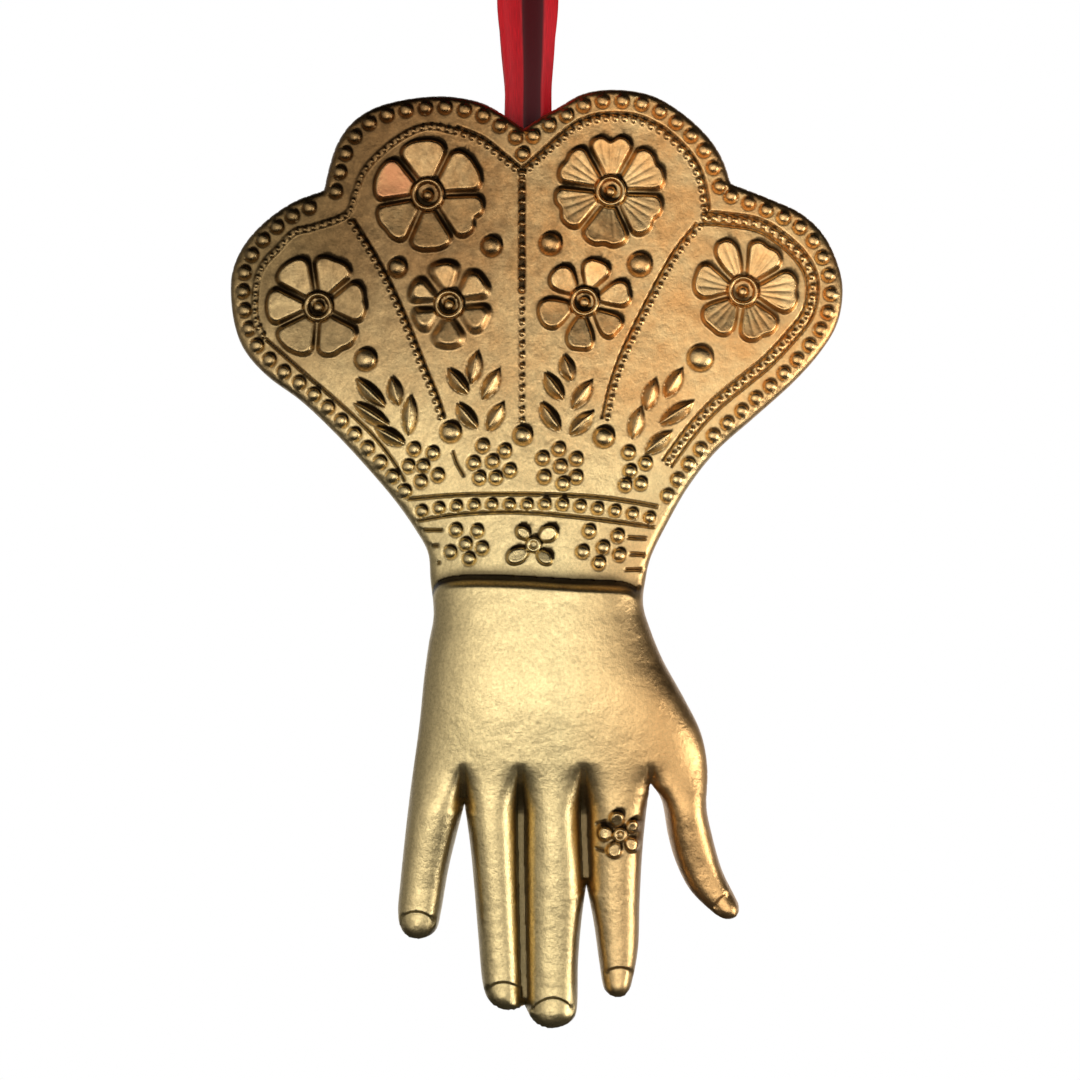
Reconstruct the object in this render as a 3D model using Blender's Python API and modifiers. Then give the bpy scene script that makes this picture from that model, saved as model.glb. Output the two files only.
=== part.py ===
"""Hand ornament: a pressed brass hand with a fan-shaped cuff, hung from a satin ribbon.

The hand is one sheet, pressed from the back. A wire eye soldered behind the cuff holds a
jump ring, and the ribbon's loop runs through the ring. +Z is up, the palm's face looks
along -Y, and the origin is the point inside the top of the ribbon's loop where a hook bears.
Sizes are in millimetres, and MM turns them into Blender's metres.
"""

import math

import bmesh
import bpy
import numpy as np
from mathutils import Vector
from mathutils.geometry import delaunay_2d_cdt

MM = 0.001

# The sheet and its edge.
SHEET = 0.5
CUT_EDGE = 0.2
EDGE_ROLL = 1.1
ROLL_POWER = 2.4

# Heights of the pressed form above the plane of its back edge.
CUFF_RISE = 1.8
CUFF_DOME = 1.9
WRIST_DOME = 2.9
PALM_RISE = 8.0
KNUCKLE_RISE = 6.0
FINGERTIP_RISE = 4.2
THUMB_TIP_RISE = 3.6
FINGER_LAND = 1.2
FINGER_LAND_HALF = 0.5
STEP_ROUND = 1.2

# Heights of the raised pattern above the sheet around it.
PETAL_RISE = 0.9
PETAL_CUP = 0.2
PETAL_WALL = 0.55
FLOWER_RING_RISE = 0.75
LEAF_RISE = 0.7
BALL_RISE = 0.9
BEAD_RISE = 0.55
ROPE_RISE = 0.35

# Widths of the raised pattern.
BORDER_BEAD = 1.7
BORDER_PITCH = 2.35
BORDER_INSET = 1.65
BAND_BEAD = 1.25
BAND_PITCH = 2.18
CLUSTER_BEAD = 1.5
ROPE_HALF = 0.42
LEAF_HALF = 0.98
FLOWER_RING_HALF = 0.35
FLOWER_BUTTON = 0.65

# The hanger behind the cuff.
GAP = 0.3
EYE_WIRE = 1.0
RING_WIRE = 1.0
RING_OUTER = 8.0
RING_SEAM = 0.2
RING_BELOW_NOTCH = 2.5
SOLDER_HEIGHT = 1.1
SOLDER_GAP = 0.25
SOLDER_LIP = 0.12
SOLDER_WAIST = 0.3

# The ribbon.
STRAND_DROP = 57.5
RIBBON_WIDTH = 9.5
RIBBON_THICKNESS = 0.3
RIBBON_TO_EDGE = 0.5
GATHERED_WIDTH = 7.3
NOTCH_WIDTH = 5.7
RING_WIDTH = 4.4
FREE_FOLD = 2.2
TIGHT_FOLD = 1.2
KNOT_WIDTH = 9.0
KNOT_DEPTH = 6.4
KNOT_HEIGHT = 6.6
KNOT_WRAP = 0.16
TAIL_LENGTH = 15.0
TAIL_ROOT = 3.0
TAIL_FOLD = 0.75
TAIL_LEAN = 12.0
TAIL_LEAN_MORE = 38.0
TAIL_BEND = 0.75
TAIL_TO_FRONT = 0.16
TAIL_SPREAD = 1.3

# The ribbon's folds as shares of its width and depth, and how it gathers above the notch.
FOLDS_ACROSS = (-1.0, -0.2, 0.63, 1.0)
FOLDS_DEEP = (0.1, -1.0, 1.0, -0.2)
NOTCH_REACH = 4.0
GATHER_START = 7.0
GATHER_REACH = 13.0
STRAND_SHARES = (0.035, 0.09, 0.16, 0.25, 0.39, 0.57, 0.74)
KNOT_SHARES = (0.88, 0.95, 1.0)

# The knot's slanting wrap: its direction, half width and soft edge, as shares of the knot.
WRAP_ACROSS = 0.6
WRAP_UP = 0.8
WRAP_HALF = 0.32
WRAP_EDGE = 0.2

# Places that follow from the sizes above.
RING_TOP_Z = -STRAND_DROP
RING_RADIUS = (RING_OUTER - RING_WIRE) / 2
RING_CENTRE_Z = RING_TOP_Z - RING_OUTER / 2
PIVOT_Z = RING_CENTRE_Z - RING_RADIUS
EYE_RADIUS = RING_WIRE / 2 + GAP + EYE_WIRE / 2
SOLDER_RADIUS = EYE_RADIUS - GAP / 2
BIGHT_RADIUS = RING_WIRE / 2 + GAP + TIGHT_FOLD / 2
NOTCH_X = -0.6
NOTCH_Z = RING_TOP_Z + RING_BELOW_NOTCH
BACK_PLANE_Y = -(BIGHT_RADIUS + TIGHT_FOLD / 2 + RIBBON_TO_EDGE)
KNOT_BOTTOM_Z = 0.9

# The outline of the hand, measured from the notch in the cuff's top edge: x to the right and
# z up. Each stretch is a smooth curve through its points, and stretches meet at a corner.
OUTLINE = [
    [(0.1, -0.4), (-2.3, 1.3), (-4.8, 2.7), (-7.7, 3.4), (-10.6, 3.6), (-14.5, 3.2), (-18.2, 2.2),
     (-21.0, 0.4), (-22.8, -2.1), (-23.8, -4.9), (-24.5, -7.9)],
    [(-24.5, -7.9), (-28.2, -9.3), (-31.6, -11.6), (-34.2, -14.4), (-35.7, -17.5), (-36.0, -20.6),
     (-35.5, -24.5), (-34.2, -27.7), (-31.4, -30.8), (-27.2, -33.9), (-23.0, -37.9), (-19.2, -42.0),
     (-15.8, -46.0), (-13.2, -49.7), (-11.7, -52.5), (-11.4, -55.8), (-11.0, -60.0), (-11.6, -63.6),
     (-12.2, -68.0), (-12.8, -73.9), (-13.8, -81.2), (-14.5, -87.1), (-15.1, -92.9), (-15.4, -96.6),
     (-15.0, -98.8), (-13.8, -99.9), (-12.1, -99.9), (-10.7, -98.9), (-10.1, -96.7), (-9.2, -91.5),
     (-8.2, -87.3), (-7.2, -83.4)],
    [(-7.2, -83.4), (-6.5, -88.5), (-6.0, -93.7), (-5.5, -99.8), (-5.0, -105.3), (-4.2, -107.6),
     (-2.8, -108.5), (-1.2, -108.7), (0.2, -108.2)],
    [(0.2, -108.2), (1.3, -110.1), (2.9, -110.9), (4.8, -110.7), (6.2, -109.9), (6.7, -108.1),
     (6.8, -102.8), (7.2, -97.9), (7.8, -93.4)],
    [(7.8, -93.4), (8.7, -97.9), (9.4, -102.9), (9.9, -105.9), (10.6, -106.8), (11.7, -107.1),
     (12.8, -106.7), (13.4, -105.4), (14.2, -101.0), (14.4, -94.9), (14.8, -88.2), (15.6, -80.7)],
    [(15.6, -80.7), (17.1, -83.0), (17.9, -87.3), (18.9, -90.7), (20.6, -94.0), (23.2, -96.6),
     (24.9, -97.6), (26.3, -97.3), (26.6, -96.0), (26.0, -94.6), (24.5, -91.5), (23.3, -87.3),
     (22.6, -83.6), (22.7, -78.8), (21.9, -74.6), (19.9, -70.5), (17.2, -65.6), (15.5, -61.4),
     (14.8, -58.7), (15.1, -55.8), (15.8, -52.9), (17.7, -49.0), (20.4, -44.3), (23.9, -39.9),
     (28.4, -35.9), (33.2, -31.6), (36.6, -27.8), (38.7, -24.3), (39.4, -20.4), (38.8, -17.0),
     (37.0, -13.3), (34.2, -10.7), (30.5, -9.0), (25.6, -7.1)],
    [(25.6, -7.1), (24.5, -4.0), (22.6, -1.2), (19.5, 1.6), (15.8, 3.7), (11.4, 4.4), (7.4, 3.9),
     (4.3, 2.2), (2.1, 1.0), (0.1, -0.4)],
]
CUFF_END = -46.5

# Sides of the palm, for the swell of its middle, and the step where the hand leaves the cuff.
PALM_LEFT = [(-11.4, -54.0), (-11.0, -60.0), (-11.6, -63.6), (-12.2, -68.0), (-12.8, -73.9),
             (-13.8, -81.2), (-14.4, -87.0)]
PALM_RIGHT = [(14.8, -54.0), (14.8, -58.7), (15.5, -61.4), (17.2, -65.6), (19.9, -70.5),
              (21.9, -74.6), (22.7, -79.0), (22.7, -87.0)]
STEP_LINE = [(-11.3, -58.4), (-10.9, -56.8), (-9.8, -55.7), (-6.5, -55.2), (-0.4, -55.3),
             (6.3, -55.7), (12.0, -56.0), (14.0, -56.8)]
STEP_TOP = max(z for _, z in STEP_LINE)
PALM_FALL = -66.0
KNUCKLE_TOP = -76.0
KNUCKLE_END = -85.0
PALM_POWER = 2.8
SWELL_POWER = 2.4

# Where the cuff flares out above the wrist, and its half widths there.
FLARE_START = -56.0
FLARE_LENGTH = 36.0
WRIST_HALF = 14.0
CUFF_HALF = 38.5
CUFF_MIDDLE = 1.8

# Middle lines of the four fingers and the thumb, and the grooves between them.
FINGERS = [
    [(-10.4, -75.0), (-10.7, -84.1), (-11.6, -88.5), (-12.3, -92.9), (-12.7, -96.6)],
    [(-4.0, -75.0), (-3.9, -84.1), (-3.5, -90.0), (-3.0, -98.0), (-2.4, -105.8)],
    [(3.5, -75.0), (3.7, -84.1), (3.9, -90.0), (3.8, -98.0), (3.7, -107.6)],
    [(11.5, -75.0), (11.5, -84.1), (11.4, -92.0), (11.5, -98.8), (11.7, -104.8)],
]
THUMB = [(18.4, -76.0), (19.6, -83.0), (20.6, -88.0), (22.4, -92.6), (24.9, -95.8)]
GROOVES = [
    [(-7.3, -77.0), (-7.2, -83.4)],
    [(-0.3, -77.0), (-0.2, -90.0), (0.0, -99.8), (0.2, -108.2)],
    [(7.3, -77.0), (7.5, -86.3), (7.8, -93.4)],
    [(15.5, -77.0), (15.6, -80.7)],
]

# Flowers: middle, ring radius, and each petal's direction in degrees, reach and half width.
FLOWERS = [
    ((-11.6, -8.8), 1.7, [(96, 7.1, 3.2), (31, 7.4, 3.1), (-28, 7.4, 2.9), (-87, 7.2, 3.0),
                          (-140, 7.2, 3.0), (160, 6.9, 3.0)]),
    ((10.7, -8.4), 1.6, [(90, 7.1, 3.0), (31, 7.2, 3.0), (-34, 7.0, 3.1), (-97, 7.2, 3.1),
                         (-160, 7.3, 3.1), (146, 7.2, 3.1)]),
    ((-25.0, -22.4), 1.5, [(127, 6.8, 2.7), (70, 6.5, 3.0), (8, 6.2, 3.0), (-61, 6.5, 3.2),
                           (-127, 6.6, 3.0), (178, 6.6, 2.7)]),
    ((26.9, -20.5), 1.6, [(113, 6.9, 1.6), (60, 6.7, 2.8), (0, 7.0, 2.9), (-66, 6.5, 2.9),
                          (-131, 6.4, 2.5), (163, 6.4, 2.6)]),
    ((-9.0, -22.2), 1.5, [(100, 5.6, 2.5), (34, 5.7, 2.5), (-24, 5.6, 2.3), (-92, 5.6, 2.5),
                          (-153, 5.0, 2.3), (156, 5.4, 2.3)]),
    ((7.5, -21.9), 1.5, [(69, 5.6, 2.2), (13, 6.0, 2.1), (-42, 5.8, 2.1), (-96, 6.2, 2.0),
                         (-161, 6.0, 2.2), (134, 5.5, 2.0)]),
    ((11.8, -86.6), 0.6, [(100, 3.0, 1.3), (35, 2.8, 1.2), (-40, 2.9, 1.3), (-110, 3.0, 1.3),
                          (175, 2.8, 1.4)]),
    ((1.3, -51.5), 0.6, [(132, 3.1, 1.1), (36, 3.5, 1.3), (-148, 3.8, 1.2), (-47, 3.2, 1.1)]),
]
PETAL_POWER = 3.0
PETAL_WIDEST = 0.82

# Balls: place and radius.
BALLS = [(-3.8, -15.0, 1.2), (-15.3, -17.6, 1.1), (3.4, -14.7, 1.3), (14.3, -17.2, 1.4),
         (-19.2, -28.8, 1.3), (21.7, -28.6, 1.5), (-8.8, -37.7, 1.2), (0.0, -38.1, 1.1),
         (9.9, -38.3, 1.2)]

# Leaves: tip and stem end of each.
LEAVES = [
    (-20.5, -31.1, -16.7, -34.8), (-16.1, -30.9, -15.1, -34.6), (-13.7, -33.1, -14.0, -38.3),
    (-20.8, -34.1, -16.2, -37.1), (-18.2, -37.1, -14.3, -39.3), (-5.5, -27.8, -6.3, -32.0),
    (-9.2, -30.0, -6.6, -33.2), (-2.8, -30.0, -5.0, -33.9), (-8.1, -34.2, -5.5, -37.4),
    (-2.3, -34.1, -4.4, -37.7), (4.9, -28.3, 6.0, -31.6), (2.6, -30.5, 5.0, -33.9),
    (8.5, -31.4, 5.9, -35.0), (2.1, -34.1, 4.6, -37.7), (8.7, -35.2, 5.6, -38.1),
    (16.2, -31.1, 15.0, -35.2), (19.5, -29.9, 17.3, -33.6), (14.4, -34.6, 13.3, -38.7),
    (21.0, -33.9, 16.6, -36.8), (18.3, -37.6, 14.8, -40.4),
]

# The bead below the notch, and the clusters under the leaves and on the lower band.
NOTCH_BEAD = (0.0, -3.8)
CLUSTERS = [
    (-13.3, -39.8), (-11.0, -40.3), (-14.0, -41.9), (-12.2, -41.9), (-10.4, -43.0),
    (-12.5, -43.8), (-4.9, -39.4), (-2.2, -40.0), (-6.0, -41.5), (-3.7, -41.3), (-1.6, -42.4),
    (-5.3, -43.3), (-3.3, -43.3), (4.4, -39.8), (2.4, -40.9), (6.5, -41.0), (4.6, -41.9),
    (2.6, -43.2), (6.5, -43.2), (4.9, -44.0), (12.9, -40.2), (15.0, -41.5), (13.1, -42.5),
    (12.5, -44.2), (14.4, -44.0),
    (-8.2, -49.7), (-5.6, -49.8), (-7.0, -51.4), (-8.9, -52.4), (-5.0, -51.9), (-6.6, -53.2),
    (8.1, -49.8), (11.6, -50.4), (7.3, -52.3), (9.8, -51.8), (11.8, -52.7), (9.3, -53.7),
]
BAND_ROW = [(-12.4, -47.4), (-9.2, -46.9), (-4.8, -46.6), (-0.2, -46.6), (4.3, -46.5),
            (8.8, -47.0), (13.3, -47.7), (15.5, -48.2)]

# Rope lines that frame the panels.
ROPES = [
    [(-0.2, -6.3), (-2.7, -4.3), (-5.1, -2.4), (-8.2, -1.1), (-11.4, -0.5), (-14.4, -1.5),
     (-17.5, -3.8), (-19.5, -6.1), (-20.5, -8.7), (-21.6, -11.2), (-25.6, -12.7), (-28.0, -13.3),
     (-30.0, -15.3), (-31.7, -17.1), (-32.6, -19.4), (-32.8, -23.6), (-31.9, -25.9)],
    [(0.0, -6.3), (2.3, -4.3), (4.4, -2.4), (6.5, -0.7), (8.7, 0.2), (11.2, 0.5), (13.9, 0.2),
     (16.6, -1.0), (18.7, -2.7), (20.3, -4.5), (21.4, -6.7), (22.0, -9.5), (22.1, -11.5),
     (24.8, -11.7), (28.7, -12.3), (31.4, -13.8), (33.8, -15.9), (35.2, -18.1), (35.5, -20.4),
     (34.8, -23.3), (32.7, -26.0), (30.0, -28.9), (27.5, -31.0), (23.4, -34.4), (20.4, -37.7),
     (17.7, -41.4)],
    [(-0.1, -7.0), (-0.1, -36.4)],
    [(-21.1, -12.1), (-17.9, -17.3), (-15.6, -22.0), (-13.9, -26.1), (-12.3, -30.2),
     (-11.0, -33.3), (-10.1, -36.0)],
    [(21.6, -12.7), (19.2, -15.6), (17.3, -18.8), (15.5, -22.2), (13.9, -25.4), (12.3, -28.9),
     (11.0, -32.8), (10.3, -36.0)],
]

# How closely the pressed sheet is faceted.
OUTLINE_STEP = 2.4
OUTLINE_SAG = 0.05
ROPE_STEP = 2.4
GROUND_STEP = 3.0
HAND_STEP = 2.3
RIM_MARGIN = 0.2
ROLL_LINE = 0.25
BALL_LINE = 0.66
STEP_LINES = (0.0, 0.1, 0.4, 1.0)
BACK_STEP_LINES = (-0.3, 0.9, 1.4, 2.4, 3.4)
FINGER_LINES = (0.5, 0.82)
BACK_FINGER_LINES = (0.45, 0.75)
CLOSEST = 0.2
BACK_CLOSEST = 0.3
FINGER_REACH = 4.2
FINGERTIP_RADIUS = 1.6


def clear_scene():
    for found in list(bpy.data.objects):
        bpy.data.objects.remove(found, do_unlink=True)


def material(name, colour, roughness, metallic):
    made = bpy.data.materials.new(name)
    made.use_nodes = True
    shader = made.node_tree.nodes["Principled BSDF"]
    shader.inputs["Base Color"].default_value = (*colour, 1.0)
    shader.inputs["Roughness"].default_value = roughness
    shader.inputs["Metallic"].default_value = metallic
    return made


def new_collection(name):
    made = bpy.data.collections.new(name)
    bpy.context.scene.collection.children.link(made)
    return made


def add_mesh(name, vertices, faces, origin, finish, home, angle=40):
    """An object of this mesh, given in world millimetres, whose origin is at the given point."""
    base = np.asarray(origin, float)
    mesh = bpy.data.meshes.new(name)
    placed = (np.asarray(vertices, float) - base) * MM
    mesh.from_pydata([tuple(p) for p in placed], [], [tuple(f) for f in faces])
    mesh.validate()
    mesh.shade_smooth()
    mesh.set_sharp_from_angle(angle=math.radians(angle))
    mesh.materials.append(finish)
    made = bpy.data.objects.new(name, mesh)
    made.location = Vector(base * MM)
    home.objects.link(made)
    return made


# Curves and distances in the plane of the sheet.

def smooth(value):
    held = np.clip(value, 0.0, 1.0)
    return held * held * (3.0 - 2.0 * held)


def curve_through(points, step):
    """Points a step apart on a smooth curve through the given points."""
    known = np.asarray(points, float)
    ends = np.vstack([2 * known[0] - known[1], known, 2 * known[-1] - known[-2]])
    fine = []
    for a, b, c, d in zip(ends, ends[1:], ends[2:], ends[3:]):
        t = np.linspace(0.0, 1.0, 12, endpoint=False)[:, None]
        fine.append(0.5 * (2 * b + (c - a) * t + (2 * a - 5 * b + 4 * c - d) * t**2
                           + (3 * b - a - 3 * c + d) * t**3))
    fine = np.vstack(fine + [known[-1:]])
    run = np.concatenate([[0.0], np.cumsum(np.linalg.norm(np.diff(fine, axis=0), axis=1))])
    count = max(2, int(round(run[-1] / step)) + 1)
    wanted = np.linspace(0.0, run[-1], count)
    return np.column_stack([np.interp(wanted, run, fine[:, i]) for i in range(fine.shape[1])])


def outline_loop(step, sag=math.inf):
    """Points round the outline, a step apart or closer where the straight pieces would sag."""
    loop = []
    for stretch in OUTLINE:
        if sag == math.inf:
            loop.append(curve_through(stretch, step)[:-1])
            continue
        line = curve_through(stretch, step / 12)
        kept = [0]
        while kept[-1] < len(line) - 1:
            last = kept[-1] + 1
            while last + 1 < len(line):
                chord = line[[kept[-1], last + 1]]
                if np.linalg.norm(chord[1] - chord[0]) > step:
                    break
                if distance_to(line[kept[-1]:last + 1], chord).max() > sag:
                    break
                last += 1
            kept.append(last)
        loop.append(line[kept[:-1]])
    return np.vstack(loop)


def distance_to(points, line, closed=False):
    """Each point's distance to a run of straight pieces."""
    starts = np.asarray(line, float)
    stops = np.roll(starts, -1, axis=0) if closed else starts[1:]
    starts = starts if closed else starts[:-1]
    best = np.full(len(points), np.inf)
    for start, stop in zip(starts, stops):
        along = stop - start
        share = np.clip((points - start) @ along / max(along @ along, 1e-12), 0.0, 1.0)
        best = np.minimum(best, np.linalg.norm(points - start - share[:, None] * along, axis=1))
    return best


def inside(points, loop):
    """True for each point that lies inside the closed loop."""
    odd = np.zeros(len(points), bool)
    for (x1, z1), (x2, z2) in zip(loop, np.roll(loop, -1, axis=0)):
        if z1 == z2:
            continue
        crosses = (points[:, 1] < z1) != (points[:, 1] < z2)
        odd ^= crosses & (points[:, 0] < (x2 - x1) * (points[:, 1] - z1) / (z2 - z1) + x1)
    return odd


EDGE_LINE = outline_loop(0.7)
RIM = outline_loop(OUTLINE_STEP, OUTLINE_SAG)


def rounded(share, power):
    """A wall that rises steeply from 0 and levels off at 1."""
    held = np.clip(share, 0.0, 1.0)
    return (1.0 - (1.0 - held) ** power) ** (1.0 / power)


def side_at(z, side):
    line = curve_through(side, 0.5)[::-1]
    return np.interp(z, line[:, 1], line[:, 0])


# The pressed form, as a height above the plane of the back edge.

def cuff_form(points, edge):
    x, z = points.T
    flare = smooth((z - FLARE_START) / FLARE_LENGTH)
    half = WRIST_HALF + (CUFF_HALF - WRIST_HALF) * flare
    swell = WRIST_DOME + (CUFF_DOME - WRIST_DOME) * flare
    across = np.clip(np.abs(x - CUFF_MIDDLE) / half, 0.0, 1.0)
    face = CUFF_RISE + swell * (1.0 - across**2)
    return CUT_EDGE + (face - CUT_EDGE) * rounded(edge / EDGE_ROLL, ROLL_POWER)


def palm_form(points):
    x, z = points.T
    left = side_at(z, PALM_LEFT)
    right = side_at(z, PALM_RIGHT)
    across = np.clip(np.abs(2 * x - left - right) / (right - left), 0.0, 1.0)
    fall = smooth((PALM_FALL - z) / (PALM_FALL - KNUCKLE_END))
    crest = PALM_RISE + (KNUCKLE_RISE - PALM_RISE) * fall
    return CUT_EDGE + (crest - CUT_EDGE) * (1.0 - across**PALM_POWER) ** (1 / PALM_POWER)


def fingers_form(points, edge):
    groove = np.min([distance_to(points, line) for line in GROOVES], axis=0)
    free = np.minimum(edge, np.maximum(groove - FINGER_LAND_HALF, 0.0))
    middles = np.array([distance_to(points, curve_through(line, 1.5)) for line in FINGERS + [THUMB]])
    nearest = middles.min(axis=0)
    share = nearest / np.maximum(nearest + free, 1e-9)
    tip = np.array([line[-1][1] for line in FINGERS + [THUMB]])[middles.argmin(axis=0)]
    ends = np.where(middles.argmin(axis=0) == len(FINGERS), THUMB_TIP_RISE, FINGERTIP_RISE)
    along = smooth((KNUCKLE_TOP - points[:, 1]) / (KNUCKLE_TOP - tip))
    crest = KNUCKLE_RISE + (ends - KNUCKLE_RISE) * along
    floor = CUT_EDGE + (FINGER_LAND - CUT_EDGE) * np.clip(edge, 0.0, 1.0)
    return floor + (crest - floor) * (1.0 - np.clip(share, 0.0, 1.0) ** SWELL_POWER) ** (1 / SWELL_POWER)


def step_at(x):
    line = curve_through(STEP_LINE, 0.5)
    return np.interp(x, line[:, 0], line[:, 1])


def pressed_form(points, edge):
    """The cuff, and below the step the hand."""
    low = points[:, 1] < STEP_TOP + STEP_ROUND
    height = cuff_form(points, edge)
    hand, hand_edge = points[low], edge[low]
    blend = smooth((KNUCKLE_TOP - hand[:, 1]) / (KNUCKLE_TOP - KNUCKLE_END))
    swell = palm_form(hand) * (1.0 - blend) + fingers_form(hand, hand_edge) * blend
    below = step_at(hand[:, 0]) - hand[:, 1]
    wall = rounded(below / STEP_ROUND, ROLL_POWER)
    height[low] += np.where(below > 0, (swell - height[low]) * wall, 0.0)
    return height


# The raised pattern.

def dome(points, x, z, radius, rise):
    away = np.hypot(points[:, 0] - x, points[:, 1] - z) / radius
    return rise * np.sqrt(np.clip(1.0 - away**2, 0.0, None))


def petal_places(points, flower, petal):
    """Place of each point in a petal: 0 at its middle and 1 on its outline."""
    (x, z), ring, _ = flower
    angle, reach, half = petal
    out = math.radians(angle)
    away = (points[:, 0] - x) * math.cos(out) + (points[:, 1] - z) * math.sin(out)
    aside = (points[:, 1] - z) * math.cos(out) - (points[:, 0] - x) * math.sin(out)
    root = ring + FLOWER_RING_HALF
    long = (away - (reach + root) / 2) / ((reach - root) / 2)
    wide = half * np.clip(away / (PETAL_WIDEST * reach), 0.2, 1.0)
    return (np.abs(long) ** PETAL_POWER + np.abs(aside / wide) ** PETAL_POWER) ** (1 / PETAL_POWER)


def petal_relief(points, flower):
    """Height of the petals: a steep wall round each, and a shallow cup inside."""
    (x, z), _, petals = flower
    reach = max(petal[1] for petal in petals) + PETAL_WALL
    near = np.hypot(points[:, 0] - x, points[:, 1] - z) < reach
    raised = np.zeros(len(points))
    for petal in petals:
        depth = (1.0 - petal_places(points[near], flower, petal)) * petal[2]
        shape = PETAL_RISE * smooth(depth / PETAL_WALL) - PETAL_CUP * smooth(depth / petal[2] - 0.1)
        raised[near] = np.maximum(raised[near], shape)
    return raised


def flower_middle(points, flower):
    """Height of the ring and the button in the middle of a flower."""
    (x, z), ring, _ = flower
    across = (np.hypot(points[:, 0] - x, points[:, 1] - z) - ring) / FLOWER_RING_HALF
    band = FLOWER_RING_RISE * np.sqrt(np.clip(1.0 - across**2, 0.0, None))
    return np.maximum(band, dome(points, x, z, min(FLOWER_BUTTON, ring), BEAD_RISE))


def leaf_relief(points, leaf):
    tip, stem = np.array(leaf[:2]), np.array(leaf[2:])
    axis = stem - tip
    size = np.linalg.norm(axis)
    axis = axis / size
    from_middle = points - (tip + stem) / 2
    along = from_middle @ axis / (size / 2)
    aside = from_middle @ np.array([-axis[1], axis[0]])
    half = LEAF_HALF * np.clip(1.0 - along**2, 0.0, None)
    share = np.clip(np.abs(aside) / np.maximum(half, 1e-6), 0.0, 1.0)
    return LEAF_RISE * (1.0 - share**2) * np.clip(1.0 - along**4, 0.0, None)


def border_beads():
    """Bead places along the cuff's border, an even pitch apart."""
    places = []
    for stretch in OUTLINE:
        line = curve_through(stretch, 0.25)
        line = line[line[:, 1] > CUFF_END]
        if len(line) < 10:
            continue
        jumps = np.flatnonzero(np.linalg.norm(np.diff(line, axis=0), axis=1) > 1.0)
        for run in np.split(line, jumps + 1):
            along = np.gradient(run, axis=0)
            along /= np.linalg.norm(along, axis=1)[:, None]
            inner = run + BORDER_INSET * np.column_stack([along[:, 1], -along[:, 0]])
            inner = np.where(inside(inner, EDGE_LINE)[:, None], inner, 2 * run - inner)
            inner = inner[distance_to(inner, EDGE_LINE, True) > 0.93 * BORDER_INSET]
            places.append(curve_through(inner[::4], BORDER_PITCH))
    kept = []
    for place in np.vstack(places):
        if all(np.hypot(*(place - other)) > 0.75 * BORDER_PITCH for other in kept):
            kept.append(place)
    return kept


BEADS = [(x, z, BORDER_BEAD / 2) for x, z in border_beads() + [NOTCH_BEAD]]
BEADS += [(x, z, BAND_BEAD / 2) for x, z in curve_through(BAND_ROW, BAND_PITCH)]
BEADS += [(x, z, CLUSTER_BEAD / 2) for x, z in CLUSTERS]


def deep_pattern(points):
    """Height of the petals and balls, which are deep enough to show at the back too."""
    raised = np.zeros(len(points))
    for flower in FLOWERS:
        if flower[1] > FLOWER_BUTTON:
            raised = np.maximum(raised, petal_relief(points, flower))
    for x, z, radius in BALLS:
        raised = np.maximum(raised, dome(points, x, z, radius, BALL_RISE))
    return raised


def fine_pattern(points):
    """Height of the flowers' middles, the leaves, the beads, the ropes and the ring's flower."""
    raised = np.zeros(len(points))
    for flower in FLOWERS:
        raised = np.maximum(raised, flower_middle(points, flower))
        if flower[1] <= FLOWER_BUTTON:
            raised = np.maximum(raised, petal_relief(points, flower))
    for leaf in LEAVES:
        raised = np.maximum(raised, leaf_relief(points, leaf))
    for x, z, radius in BEADS:
        raised = np.maximum(raised, dome(points, x, z, radius, BEAD_RISE))
    for rope in ROPES:
        share = distance_to(points, curve_through(rope, 1.0)) / ROPE_HALF
        raised = np.maximum(raised, ROPE_RISE * np.clip(1.0 - share**2, 0.0, None))
    return raised


def front_height(points):
    edge = distance_to(points, EDGE_LINE, True)
    return pressed_form(points, edge) + np.maximum(deep_pattern(points), fine_pattern(points))


def back_height(points):
    """The sheet's hollow back: the form with its deep pattern, one sheet thickness in."""
    lowest = np.full(len(points), np.inf)
    for share in (0.0, 0.6, 1.0):
        for turn in range(1 if share == 0 else 10):
            way = 2 * math.pi * turn / 10
            moved = points + share * SHEET * np.array([math.cos(way), math.sin(way)])
            edge = distance_to(moved, EDGE_LINE, True) * np.where(inside(moved, EDGE_LINE), 1, -1)
            ground = pressed_form(moved, np.maximum(edge, 0.0)) + deep_pattern(moved)
            ground = np.where(edge > 0, ground, 0.0)
            lowest = np.minimum(lowest, ground - SHEET * math.sqrt(1.0 - share**2))
    return np.maximum(lowest, 0.0)


# The points and lines that carry the facets.

def well_inside(points, margin):
    """True for each point inside the outline and farther from it than the margin."""
    points = np.asarray(points, float)
    return inside(points, EDGE_LINE) & (distance_to(points, EDGE_LINE, True) > margin)


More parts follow.
